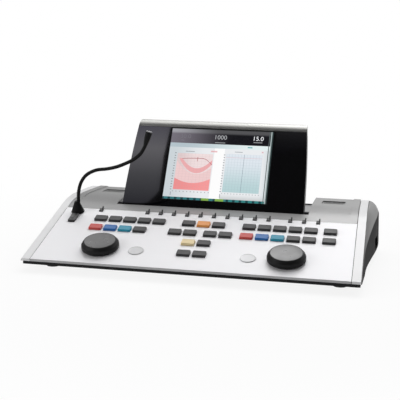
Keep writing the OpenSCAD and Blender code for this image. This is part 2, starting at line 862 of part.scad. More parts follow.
// White end trims: an arched strip with an outer wall, one at each end
module end_trims() color("white")
    for (side = [-1, 1])
        translate([side * (half_span - trim_w / 2), 0, 0])
            difference() {
                along_x(trim_w) {
                    deck_outline();
                    wedge_outline();
                }
                translate([-side * wall, 0, 0])
                    along_x(trim_w)
                        hollow_outline(wall + 1);
            }

// Solid through a list of rings with equal numbers of points
module loft(rings) {
    n = len(rings[0]);
    m = len(rings);
    points = [for (r = rings) for (p = r) p];
    sides = [for (j = [0:m - 2]) for (i = [0:n - 1])
        let(a = j * n + i, b = j * n + (i + 1) % n)
        each [[a, b + n, b], [a, a + n, b + n]]];
    caps = [[for (i = [0:n - 1]) i], [for (i = [n - 1:-1:0]) (m - 1) * n + i]];
    polyhedron(points = points, faces = concat(sides, caps), convexity = 6);
}

// One cheek: a lofted cover that flares out towards the rear, with a pocket for the fingers
module cheek_shell()
    translate([half_span, 0, 0])
        difference() {
            loft([for (y = cheek_ys) cheek_ring(y)]);
            translate([cheek_out(grip_y) - grip_depth, grip_y, grip_z])
                rotate([90, 0, 90])
                    linear_extrude(height = 2 * grip_depth)
                        round_rect(grip_len, grip_h, grip_corner);
        }
module right_cheek() color(cheek_grey) cheek_shell();
module left_cheek() color(cheek_grey) mirror([1, 0, 0]) cheek_shell();

// Rear socket plate with jacks, data socket and mains inlet
module connector_panel() color(black)
    difference() {
        union() {
            translate([window_x - window_w / 2 - 4, socket_y, window_z - window_h / 2 - 2])
                cube([window_w + 8, socket_plate_t, window_h + 4]);
            for (x = jack_xs)
                translate([x, socket_y + socket_plate_t + 1, window_z])
                    rotate([90, 0, 0])
                        cylinder(r = 6, h = jack_depth + 1);
            translate([usb_x - usb_w / 2 - 1.5, socket_y - 12, window_z - usb_h / 2 - 1.5])
                cube([usb_w + 3, 12 + eps, usb_h + 3]);
            translate([inlet_x - inlet_w / 2 - 2, socket_y - inlet_depth - 2, window_z - inlet_h / 2 - 2])
                cube([inlet_w + 4, inlet_depth + 2 + eps, inlet_h + 4]);
        }
        for (x = jack_xs)
            translate([x, socket_y + socket_plate_t + 2, window_z])
                rotate([90, 0, 0])
                    cylinder(r = jack_r, h = jack_depth + 1);
        translate([usb_x - usb_w / 2, socket_y - 10, window_z - usb_h / 2])
            cube([usb_w, 14, usb_h]);
        translate([inlet_x - inlet_w / 2, socket_y - inlet_depth, window_z - inlet_h / 2])
            cube([inlet_w, inlet_depth + 4, inlet_h]);
        translate([switch_x - switch_w / 2 - switch_play, socket_y - 1, window_z - switch_h / 2 - switch_play])
            cube([switch_w + 2 * switch_play, socket_plate_t + 2, switch_h + 2 * switch_play]);
    }

// Rocker of the power switch on its trunnions
module power_switch() color("darkred")
    translate([switch_x, socket_y, window_z]) {
        along_x(switch_w)
            polygon([[-6, -3], [-1.5, -switch_h / 2 + 0.4], [socket_plate_t, -switch_h / 2 + 0.6],
                [socket_plate_t + 2.6, -switch_h / 2 + 2], [socket_plate_t + 1, 0],
                [socket_plate_t + 0.4, switch_h / 2 - 1.4], [-1.5, switch_h / 2 - 0.8], [-6, 3]]);
        rotate([0, 90, 0])
            cylinder(r = trunnion_r, h = switch_w + 2 * switch_play - 2 * trunnion_play, center = true);
    }

// Front view of the display, drawn in by an inset, with bowed sides
module display_outline(height, inset = 0)
    intersection() {
        translate([-display_half, inset])
            square([display_w, height - 2 * inset]);
        translate([display_half - side_r - inset, 0])
            circle(r = side_r, $fn = 2 * fine);
        translate([side_r - display_half + inset, 0])
            circle(r = side_r, $fn = 2 * fine);
    }

// Glossy front of the display with the screen's window
module display_bezel() color(black)
    on_display()
        translate([0, 0, -bezel_t])
            linear_extrude(height = bezel_t)
                difference() {
                    display_outline(display_face - band_gap);
                    translate([screen_x, screen_up + screen_h / 2])
                        round_rect(screen_w, screen_h, 1);
                }

// Cover glass of the screen
module display_glass() color("lightsteelblue")
    on_display()
        translate([screen_x, screen_up + screen_h / 2, -bezel_t])
            linear_extrude(height = bezel_t - glass_sink)
                round_rect(screen_w - glass_play, screen_h - glass_play, 1);

// Screen module behind the glass
module lcd_module() color("gray")
    on_display()
        translate([screen_x, screen_up + screen_h / 2, -bezel_t - lcd_t])
            linear_extrude(height = lcd_t)
                square([screen_w + lcd_rim, screen_h + lcd_rim], center = true);

// Side view of the display's back: a rounded heel, a flat back and a band rolled over the top
module display_profile() {
    translate([heel_round, -display_t])
        square([display_face - heel_round, display_t - bezel_t]);
    translate([0, heel_round - display_t])
        square([heel_round + eps, display_t - bezel_t - heel_round]);
    translate([heel_round, heel_round - display_t])
        circle(r = heel_round);
    intersection() {
        translate([display_face, -band_r])
            circle(r = band_r, $fn = fine);
        union() {
            translate([display_face - lap, -display_t])
                square([display_len - display_face - band_round + lap, display_t]);
            translate([display_face - lap, band_round - display_t])
                square([display_len - display_face + lap, display_t - band_round]);
            translate([display_len - band_round, band_round - display_t])
                circle(r = band_round);
        }
    }
}

// Side view of the space inside the display's back
module display_hollow() {
    translate([shell_wall, shell_wall - display_t])
        square([display_face - shell_wall, display_t]);
    intersection() {
        translate([display_face, -band_r])
            circle(r = band_r - shell_wall, $fn = fine);
        translate([display_face - lap, shell_wall - display_t])
            square([display_len - display_face - shell_wall + lap, display_t]);
    }
}

// Back of the display with the silver top band and the hinge bosses
module display_back_shell() color("silver")
    on_display() {
        difference() {
            intersection() {
                along_x(display_w)
                    display_profile();
                translate([0, 0, -display_t - 1])
                    linear_extrude(height = display_t + 2)
                        display_outline(display_len + 1);
            }
            intersection() {
                along_x(display_w)
                    display_hollow();
                translate([0, 0, -display_t - 1])
                    linear_extrude(height = display_t + 2)
                        display_outline(display_len, shell_wall);
            }
            translate([0, 0, -bezel_t])
                linear_extrude(height = display_t)
                    display_outline(display_face);
            at_hinge_bores()
                cylinder(r = pin_r, h = 3 * display_boss_len, center = true);
        }
        difference() {
            at_hinge_bores()
                cylinder(r = hinge_boss_r, h = display_boss_len, center = true);
            at_hinge_bores()
                cylinder(r = pin_r, h = 3 * display_boss_len, center = true);
        }
    }
module at_hinge_bores()
    for (x = [-1, 1])
        translate([x * display_boss_x, hinge_up, -hinge_in])
            rotate([0, 90, 0])
                children();

// Hinge pins, pressed into the display's bosses
module hinge_pins() color("silver")
    for (x = [-1, 1])
        translate([x * (pin_start + pin_end) / 2, hinge_y, hinge_z])
            rotate([0, 90, 0])
                cylinder(r = pin_r, h = pin_end - pin_start, center = true);

// Microphone boot, standing square on the panel
module mic_boot() color(black)
    on_panel()
        translate([-talk_x, boot_up, 0])
            rotate_extrude()
                polygon([[0, 0.3], [boot_r, 0.3], [boot_r, 1.6], [boot_r - 2.6, 6],
                    [boot_r - 5.2, 12], [neck_d / 2 + 1.6, boot_h - 1], [neck_d / 2 + 1, boot_h],
                    [0, boot_h]]);

// Gooseneck: a round tube along its path
module mic_gooseneck() color(black)
    loft([for (i = [0:len(neck_path) - 1]) neck_ring(i)]);

// Capsule at the gooseneck's end
module mic_capsule() color(black)
    translate(neck_end)
        rotate([0, acos(capsule_dir[2]), atan2(capsule_dir[1], capsule_dir[0])])
            rotate_extrude()
                polygon([[0, 0.1], [neck_d / 2, 0.1], [capsule_d / 2 - 0.4, 4],
                    [capsule_d / 2, capsule_len - 3], [capsule_d / 2 - 0.5, capsule_len - 0.4],
                    [capsule_d / 2 - 1, capsule_len], [0, capsule_len]]);

base_tray();
control_plate();
rear_housing();
left_cheek();
right_cheek();
end_trims();
feet();
connector_panel();
power_switch();
main_board();
display_bezel();
display_back_shell();
display_glass();
lcd_module();
hinge_pins();
mic_boot();
mic_gooseneck();
mic_capsule();
talk_key();
touch_pads();
speaker_grilles();
key_circuit_board();
dial_encoders();
left_dial();
right_dial();
left_soft_key();
screen_soft_keys();
right_soft_keys();
left_upper_key_1();
left_upper_key_2();
left_upper_key_3();
left_upper_key_4();
left_upper_key_5();
left_lower_key_1();
left_lower_key_2();
left_lower_key_3();
left_lower_key_4();
centre_key_1();
centre_key_2();
centre_key_3();
centre_key_4();
centre_key_5();
centre_key_6();
centre_key_7();
centre_key_8();
centre_key_9();
centre_key_10();
centre_key_11();
right_upper_key_1();
right_upper_key_2();
right_upper_key_3();
right_upper_key_4();
right_upper_key_5();
right_upper_key_6();
right_lower_key_1();
right_lower_key_2();
right_lower_key_3();
right_lower_key_4();
right_lower_key_5();
right_lower_key_6();
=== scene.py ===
"""Clinical audiometer console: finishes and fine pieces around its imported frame, laid out as an add-on."""

import json
import math

import bmesh
import bpy
from mathutils import Matrix, Vector


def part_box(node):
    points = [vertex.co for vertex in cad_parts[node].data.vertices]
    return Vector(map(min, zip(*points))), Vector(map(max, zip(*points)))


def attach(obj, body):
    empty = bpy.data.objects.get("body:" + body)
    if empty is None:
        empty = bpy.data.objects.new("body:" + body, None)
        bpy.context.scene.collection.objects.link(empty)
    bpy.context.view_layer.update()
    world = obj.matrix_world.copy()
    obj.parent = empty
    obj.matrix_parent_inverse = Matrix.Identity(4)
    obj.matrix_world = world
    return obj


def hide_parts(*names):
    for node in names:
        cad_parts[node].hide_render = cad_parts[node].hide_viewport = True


bl_info = {
    "name": "Audiometer Console",
    "version": (1, 0, 0),
    "blender": (4, 5, 0),
    "location": "3D View > Sidebar > Audiometer",
    "description": "Dresses a clinical audiometer console with finishes and fine pieces",
    "category": "Add Mesh",
}

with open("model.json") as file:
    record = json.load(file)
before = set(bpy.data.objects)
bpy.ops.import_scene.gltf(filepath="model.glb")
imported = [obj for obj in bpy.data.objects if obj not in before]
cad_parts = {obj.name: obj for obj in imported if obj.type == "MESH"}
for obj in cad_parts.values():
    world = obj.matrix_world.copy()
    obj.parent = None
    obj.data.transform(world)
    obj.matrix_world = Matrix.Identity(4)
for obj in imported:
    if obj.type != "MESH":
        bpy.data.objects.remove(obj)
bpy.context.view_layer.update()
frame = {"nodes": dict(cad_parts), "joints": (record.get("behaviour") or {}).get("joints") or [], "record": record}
MM = 0.001
UP = Vector((0, 0, 1))
REARWARD = Vector((0, 1, 0))
SIDES = (("left", -1), ("right", 1))
JOINTS = {joint["name"]: joint for joint in frame["joints"]}
BODY_OF = {node: body for body, nodes in frame["record"]["behaviour"]["bodies"].items() for node in nodes}
SLOT_OF = {part["node"]: part["material_slot"] for part in frame["record"]["subparts"]}
KEY_NODES = [name for name in frame["nodes"] if "_key_" in name]


# Places on the console, worked out from the frame

def reach(node, direction):
    """How far a CAD node reaches in a direction."""
    return max(direction.dot(v.co) for v in frame["nodes"][node].data.vertices)


def outwards(slope):
    """Direction square to a face that rises away from the operator."""
    return Vector((0, -math.sin(slope), math.cos(slope)))


def uphill(slope):
    """Direction up along a face that rises away from the operator."""
    return Vector((0, math.cos(slope), math.sin(slope)))


def panel_place():
    """Frame of the key panel: x across, y up the panel from its front edge, z out of it."""
    press = Vector(JOINTS["centre_key_1_press"]["axis"])
    slope = math.atan2(press.y, -press.z)
    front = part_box("control_plate")[0].y
    height = (reach("control_plate", outwards(slope)) + front * math.sin(slope)) / math.cos(slope)
    return Matrix.Translation((0, front, height)) @ Matrix.Rotation(slope, 4, "X")


def display_place(tilt):
    """Frame of the open display: x across, y up its face from the lower edge, z out of it."""
    low = -reach("display_bezel", -uphill(tilt))
    out = reach("display_bezel", outwards(tilt))
    return Matrix.Translation(low * uphill(tilt) + out * outwards(tilt)) @ Matrix.Rotation(tilt, 4, "X")


def local_box(node, place):
    """Lowest and highest corner of a CAD node, as seen from a place of its own."""
    back = place.inverted()
    points = [back @ v.co for v in frame["nodes"][node].data.vertices]
    low = Vector([min(p[i] for p in points) for i in range(3)])
    high = Vector([max(p[i] for p in points) for i in range(3)])
    return low, high


DISPLAY_TILT = math.radians(60)
PANEL = panel_place()
DISPLAY = display_place(DISPLAY_TILT)


def on_panel(spot):
    """A place on the key panel."""
    return PANEL @ Matrix.Translation(spot)


# What a user can change

def size_prop(name, description, millimetres):
    """A length in the sidebar."""
    return bpy.props.FloatProperty(
        name=name, description=description, default=millimetres * MM, min=0,
        unit="LENGTH", subtype="DISTANCE")


def colour_prop(name, description, shade):
    """A colour in the sidebar, as linear red, green and blue."""
    return bpy.props.FloatVectorProperty(
        name=name, description=description, default=shade, size=3, min=0, max=1, subtype="COLOR")


class AudiometerSizes(bpy.types.PropertyGroup):
    """Sizes of the fine pieces"""
    key_height: size_prop("Key Height", "Height of a key's rear edge above the panel", 3.8)
    key_sink: size_prop("Key Sink", "How far a key cap reaches below the panel's face", 2.4)
    key_round: size_prop("Key Corner", "Radius of a key cap's upright corners", 1.6)
    key_edge: size_prop("Key Edge", "Radius of a key cap's upper edges", 1.1)
    dial_height: size_prop("Dial Height", "Height of a dial above its gap", 11.8)
    neck_width: size_prop("Neck Width", "Diameter of the microphone's gooseneck", 5.6)
    capsule_width: size_prop("Capsule Width", "Diameter of the microphone's capsule", 10.4)
    cover_edge: size_prop("Cover Edge", "Width of the rounding on the covers' edges", 0.5)


class AudiometerColours(bpy.types.PropertyGroup):
    """Colours of the finishes"""
    plate: colour_prop("Plate", "Satin metal of the key panel", (0.94, 0.935, 0.955))
    # The lip's darker colour is painted shade on the plate's own satin metal
    plate_lip: colour_prop("Plate Lip", "Turned-down front lip of the key panel", (0.46, 0.46, 0.47))
    deck: colour_prop("Deck", "Grey paint of the rear housing", (0.19, 0.19, 0.19))
    trim: colour_prop("Trim", "White end trims", (0.80, 0.80, 0.81))
    # Cheek shoulder and wall stand for one dark plastic: painted light on the shoulder, painted shade on the wall
    cheek: colour_prop("Cheek", "Shoulder of the side cheeks", (0.30, 0.30, 0.30))
    cheek_wall: colour_prop("Cheek Wall", "Lower wall of the side cheeks", (0.007, 0.007, 0.0075))
    tray: colour_prop("Tray", "Black base tray", (0.010, 0.010, 0.011))
    black: colour_prop("Black", "Small black plastic pieces", (0.018, 0.018, 0.019))
    rubber: colour_prop("Rubber", "Rubber of feet and dials", (0.007, 0.007, 0.0075))
    dial_top: colour_prop("Dial Top", "Soft-touch top of the dials", (0.038, 0.038, 0.040))
    gloss: colour_prop("Gloss", "Piano black of the display's front", (0.0022, 0.0020, 0.0030))
    silver: colour_prop("Silver", "Silver band of the display", (0.40, 0.40, 0.385))
    key_grey: colour_prop("Grey Key", "Grey key caps", (0.050, 0.050, 0.052))
    key_red: colour_prop("Red Key", "Red key caps", (0.68, 0.10, 0.09))
    key_blue: colour_prop("Blue Key", "Blue key caps", (0.03, 0.17, 0.50))
    key_cyan: colour_prop("Cyan Key", "Cyan key caps", (0.035, 0.34, 0.50))
    key_orange: colour_prop("Orange Key", "Orange key caps", (1.0, 0.40, 0.12))
    key_cream: colour_prop("Cream Key", "Cream key cap", (1.0, 0.80, 0.46))


# Materials

def maths(operation, swapped=False):
    """An operator of wires that adds a Math node, its sides swapped for a reflected form."""

    def combine(wire, other):
        sides = (other, wire) if swapped else (wire, other)
        return wire.nodes.node("ShaderNodeMath", {"operation": operation}, dict(enumerate(sides)))

    return combine


class Wire:
    """A value on its way through a node tree, so that shader maths reads as an expression."""

    def __init__(self, nodes, socket):
        self.nodes = nodes
        self.socket = socket

    __add__ = maths("ADD")
    __radd__ = maths("ADD", swapped=True)
    __sub__ = maths("SUBTRACT")
    __rsub__ = maths("SUBTRACT", swapped=True)
    __mul__ = maths("MULTIPLY")
    __rmul__ = maths("MULTIPLY", swapped=True)
    __gt__ = maths("GREATER_THAN")
    __lt__ = maths("LESS_THAN")


class Nodes:
    """A node tree, with short ways to add its nodes."""

    def __init__(self, tree):
        self.tree = tree

    def put(self, socket, value):
        """Sets a socket to a constant, or links a wire to it."""
        if isinstance(value, Wire):
            self.tree.links.new(value.socket, socket)
        else:
            socket.default_value = value

    def node(self, kind, settings=None, inputs=None, output=0):
        """Adds a node: its settings first, with a ramp's stops among them, then its sockets."""
        made = self.tree.nodes.new(kind)
        for name, value in (settings or {}).items():
            if name == "stops":
                self.set_stops(made.color_ramp.elements, value)
            else:
                setattr(made, name, value)
        for socket, value in (inputs or {}).items():
            self.put(made.inputs[socket], value)
        return Wire(self, made.outputs[output])

    @staticmethod
    def set_stops(elements, stops):
        """Gives a ramp's stops their places and colours."""
        while len(elements) < len(stops):
            elements.new(1)
        for element, (place, colour) in zip(elements, stops):
            element.position = place
            element.color = (*colour, 1)

    def spot(self):
        """Object coordinates in metres."""
        return self.node("ShaderNodeTexCoord", output="Object")

    def place(self, stretch=(1, 1, 1)):
        """Object coordinates, stretched along the axes."""
        return self.node("ShaderNodeMapping", inputs={"Vector": self.spot(), "Scale": stretch})

    def axis(self, vector, letter):
        """The X, Y or Z part of a vector."""
        return self.node("ShaderNodeSeparateXYZ", inputs={0: vector}, output=letter)

    def wave(self, value):
        """The sine of a value."""
        return self.node("ShaderNodeMath", {"operation": "SINE"}, {0: value})

    def length(self, vector):
        """The length of a vector."""
        return self.node("ShaderNodeVectorMath", {"operation": "LENGTH"}, {0: vector}, output=1)

    def noise(self, scale, detail=2, stretch=(1, 1, 1)):
        """Smooth noise from 0 to 1, its scale in cells a metre."""
        inputs = {"Vector": self.place(stretch), "Scale": scale, "Detail": detail}
        return self.node("ShaderNodeTexNoise", {"noise_dimensions": "3D"}, inputs)

    def mix(self, factor, first, second):
        """Mixes two colours."""
        first, second = [c if isinstance(c, Wire) else (*c, 1) for c in (first, second)]
        return self.node("ShaderNodeMix", {"data_type": "RGBA"}, {0: factor, 6: first, 7: second}, 2)

    def ease(self, value, low, high):
        """0 below low, 1 above high, and smooth between them."""
        inputs = {"Value": value, "From Min": low, "From Max": high}
        return self.node("ShaderNodeMapRange", {"interpolation_type": "SMOOTHSTEP"}, inputs)


class Finish(Nodes):
    """One material: a Principled shader and the nodes that feed it."""

    def __init__(self, name, colour=None, **constants):
        self.material = bpy.data.materials.new(name)
        self.material.use_nodes = True
        super().__init__(self.material.node_tree)
        self.shader = self.tree.nodes["Principled BSDF"]
        if colour is not None:
            constants["Base Color"] = (*colour, 1)
        for socket, value in constants.items():
            self.feed(socket.replace("_", " "), value)

    def feed(self, socket, value):
        """Sets a socket of the shader to a constant, or links a wire to it."""
        self.put(self.shader.inputs[socket], value)

    def bump(self, height, depth, strength=1.0):
        """Feeds the normal with a relief, its depth in metres."""
        relief = {"Height": height, "Distance": depth, "Strength": strength}
        self.feed("Normal", self.node("ShaderNodeBump", inputs=relief))

    def shade(self, colour, spread, factor):
        """Feeds the base colour with a shade that wanders a little both ways."""
        self.feed("Base Color", self.mix(factor, scaled(colour, 1 - spread), scaled(colour, 1 + spread)))


def scaled(colour, share):
    """A colour made darker or lighter."""
    return tuple(min(1, part * share) for part in colour)


def moulded(name, colour, roughness=0.45, grain=1800, depth=0.00003, **constants):
    """Moulded plastic: fine spark-eroded grain, slightly uneven gloss and tone."""
    finish = Finish(name, colour, **constants)
    grains = finish.noise(grain, 3)
    finish.shade(colour, 0.06, finish.noise(14, 3))
    finish.feed("Roughness", roughness - 0.05 + 0.1 * finish.noise(60, 2))
    finish.bump(grains, depth, 0.5)
    return finish.material


def cap_plastic(name, colour, roughness=0.38):
    """Plastic of the coloured key caps: finer in its grain and drier in its gloss."""
    return moulded(name, colour, roughness, 1500, 0.00002, Specular_IOR_Level=0.25)


def brushed(name, colour, metallic, roughness=0.36):
    """Satin metal with fine brush lines along x."""
    finish = Finish(name, colour, Metallic=metallic)
    lines = finish.noise(900, 2, (0.02, 1, 1))
    clouds = finish.noise(5, 2)
    finish.shade(colour, 0.02, lines * 0.6 + clouds * 0.4)
    finish.feed("Roughness", roughness - 0.03 + 0.06 * lines)
    finish.bump(lines, 0.000005, 0.2)
    return finish.material


def painted(name, colour):
    """Sprayed paint on a moulded cover: a faint metal flake under an even orange-peel skin."""
    finish = Finish(name, colour, Metallic=0.1, Coat_Weight=0.5, Coat_Roughness=0.25)
    flakes = finish.node("ShaderNodeTexVoronoi", {"feature": "F1"},
                         {"Vector": finish.place(), "Scale": 2600}, output="Color")
    glint = finish.node("ShaderNodeRGBToBW", inputs={"Color": flakes})
    finish.shade(colour, 0.05, glint * 0.5 + finish.noise(9, 2) * 0.5)
    finish.feed("Roughness", 0.34 + 0.08 * finish.noise(220, 2))
    finish.bump(finish.noise(420, 2), 0.00004, 0.35)
    return finish.material


def rubbery(name, colour, roughness=0.55, sheen=0.45):
    """Soft-touch rubber with a dry, dusty bloom."""
    finish = Finish(name, colour, Specular_IOR_Level=sheen)
    finish.shade(colour, 0.18, finish.noise(35, 4))
    finish.feed("Roughness", roughness - 0.08 + 0.16 * finish.noise(90, 3))
    finish.bump(finish.noise(2400, 2), 0.00003, 0.5)
    return finish.material


def lacquered(name, colour):
    """Piano lacquer: deep gloss with the faintest wipe marks."""
    finish = Finish(name, colour, Coat_Weight=1.0, Coat_Roughness=0.03)
    wipes = finish.noise(40, 3, (1, 0.25, 0.25))
    finish.shade(colour, 0.25, wipes)
    finish.feed("Roughness", 0.04 + 0.05 * wipes)
    return finish.material


def turned_metal(name, colour, roughness=0.28):
    """Machined metal with fine turning rings."""
    finish = Finish(name, colour, Metallic=1.0)
    rings = finish.wave(finish.length(finish.spot()) * 18000)
    finish.shade(colour, 0.04, rings * 0.5 + 0.5)
    finish.feed("Roughness", roughness - 0.05 + 0.1 * finish.noise(150, 3))
    finish.bump(rings, 0.000004, 0.3)
    return finish.material


def lit_shoulder_shaded_wall(name, shoulder, wall):
    """Cheek colour with painted light and shade: a grey shoulder painted as lit from above, over a near-black wall
    painted as shaded, parted by a line that sweeps up from the front to the rear.
    """
    finish = Finish(name, Specular_IOR_Level=0.2, IOR=1.15)
    along, height = [finish.axis(finish.place(), letter) for letter in "YZ"]
    middle_height, rise, arch = 0.0518, 0.19, 0.3
    sweep = middle_height + rise * along - arch * along * along
    # Parting line between the painted lit shoulder and the painted shaded wall
    above = finish.ease(height - sweep, -0.0012, 0.0008)
    drift = finish.noise(14, 3)
    walls = finish.mix(drift, scaled(wall, 0.85), scaled(wall, 1.15))
    # Painted shade: the shoulder grows darker towards the front and lighter towards the rear
    lit_to_rear = finish.ease(along, -0.13, 0.09) * (0.9 + 0.1 * drift)
    shoulders = finish.mix(lit_to_rear, scaled(shoulder, 0.5), scaled(shoulder, 1.3))
    finish.feed("Base Color", finish.mix(above, walls, shoulders))
    finish.feed("Roughness", 0.50 + 0.1 * finish.noise(60, 2))
    finish.bump(finish.noise(1800, 3), 0.00002, 0.4)
    return finish.material


def circuit(name, colour):
    """Circuit board: lacquer over a lattice of tracks."""
    finish = Finish(name, colour, Coat_Weight=0.5, Coat_Roughness=0.15)
    bricks = finish.node("ShaderNodeTexBrick", {"offset": 0.5},
                         {"Vector": finish.place(), "Scale": 160.0, "Mortar Size": 0.03,
                          "Color1": (*colour, 1), "Color2": (colour[0], colour[1] * 1.3, colour[2], 1),
                          "Mortar": (0.35, 0.28, 0.08, 1)})
    finish.feed("Base Color", bricks)
    finish.feed("Roughness", 0.35 + 0.1 * finish.noise(300, 2))
    return finish.material


class Shelf:
    """Materials by name, each made when it is first asked for."""

    def __init__(self):
        self.made = {}

    def __getitem__(self, name):
        if name not in self.made:
            self.made[name] = finishes()[name](name)
        return self.made[name]


PAINT = Shelf()


def finishes():
    """How each finish of the console is made, by name."""
    shade = bpy.context.scene.audiometer_colours
    return {
        "satin_plate": lambda n: brushed(n, tuple(shade.plate), 0.12, 0.5),
        # Painted shade: the lip is the plate's satin metal, given a darker paint in place of its shade
        "plate_lip": lambda n: painted(n, tuple(shade.plate_lip)),
        "deck_paint": lambda n: painted(n, tuple(shade.deck)),
        "trim_white": lambda n: moulded(n, tuple(shade.trim), 0.34, depth=0.00002, Coat_Weight=0.15),
        # Painted light on the cheeks' shoulders and painted shade on their walls
        "cheek_skin": lambda n: lit_shoulder_shaded_wall(n, tuple(shade.cheek), tuple(shade.cheek_wall)),
        "tray_black": lambda n: moulded(n, tuple(shade.tray), 0.6, Specular_IOR_Level=0.2),
        "black_plastic": lambda n: moulded(n, tuple(shade.black), 0.42),
        "foot_rubber": lambda n: rubbery(n, tuple(shade.rubber), 0.7),
        "dial_rubber": lambda n: rubbery(n, tuple(shade.rubber), 0.5, 0.22),
        "dial_top": lambda n: rubbery(n, tuple(shade.dial_top), 0.30, 0.6),
        "piano_black": lambda n: lacquered(n, tuple(shade.gloss)),
        "silver_band": lambda n: brushed(n, tuple(shade.silver), 0.8, 0.38),
        "shell_grey": lambda n: moulded(n, (0.05, 0.05, 0.052), 0.5),
        "grille_grey": lambda n: moulded(n, (0.16, 0.16, 0.16), 0.45),
        "grille_cloth": lambda n: woven(n, (0.03, 0.03, 0.03)),
        "board_green": lambda n: circuit(n, (0.01, 0.12, 0.04)),
        "capsule_mesh": lambda n: woven(n, (0.30, 0.30, 0.31), 0.7, 9000),
        "steel": lambda n: turned_metal(n, (0.55, 0.55, 0.56)),
        "dark_steel": lambda n: turned_metal(n, (0.09, 0.09, 0.095), 0.4),
        "gold_contact": lambda n: turned_metal(n, (0.85, 0.6, 0.25), 0.2),
        "pad_metal": lambda n: brushed(n, (0.56, 0.56, 0.57), 0.3, 0.42),
        "lcd_metal": lambda n: brushed(n, (0.4, 0.4, 0.41), 0.9, 0.4),
        "grey_cap": lambda n: cap_plastic(n, tuple(shade.key_grey), 0.4),
        "red_cap": lambda n: cap_plastic(n, tuple(shade.key_red)),
        "blue_cap": lambda n: cap_plastic(n, tuple(shade.key_blue)),
        "cyan_cap": lambda n: cap_plastic(n, tuple(shade.key_cyan)),
        "orange_cap": lambda n: cap_plastic(n, tuple(shade.key_orange)),
        "cream_cap": lambda n: cap_plastic(n, tuple(shade.key_cream)),
        "black_cap": lambda n: moulded(n, tuple(shade.black), 0.36, 1500, 0.00002),
        "neck_black": lambda n: rubbery(n, (0.002, 0.002, 0.0022), 0.5, 0.16),
        "switch_black": lambda n: moulded(n, (0.02, 0.02, 0.02), 0.3, 1500, 0.00001),
        "screen_picture": screen_picture,
        "readout_bright": lambda n: glowing(n, (0.95, 0.97, 1.0)),
        "readout_grey": lambda n: glowing(n, (0.45, 0.46, 0.48)),
        "readout_dim": lambda n: glowing(n, (0.17, 0.16, 0.19)),
    }


def woven(name, colour, metallic=0.0, threads=6000):
    """Loudspeaker cloth or microphone mesh: a fine plain weave."""
    finish = Finish(name, colour, Metallic=metallic)
    warp, weft = [finish.wave(finish.axis(finish.place(), letter) * threads) for letter in "XY"]
    finish.shade(colour, 0.3, warp * weft * 0.5 + 0.5)
    finish.feed("Roughness", 0.85 - 0.5 * metallic)
    finish.bump(warp * weft, 0.0001, 0.6)
    return finish.material


def glowing(name, colour):
    """Lit characters of the screen."""
    finish = Finish(name, (0.02, 0.02, 0.02), Emission_Strength=1.0, Roughness=0.3)
    finish.feed("Emission Color", finish.mix(finish.noise(400, 1), colour, scaled(colour, 0.92)))
    return finish.material


# Left, right, lower and upper edge of the screen's two graphs, as shares of the screen
LEFT_GRAPH = (0.088, 0.437, 0.135, 0.648)
RIGHT_GRAPH = (0.567, 0.917, 0.13, 0.664)
LEFT_COLUMNS = 10
RIGHT_COLUMNS = 12
GRAPH_ROWS = 14


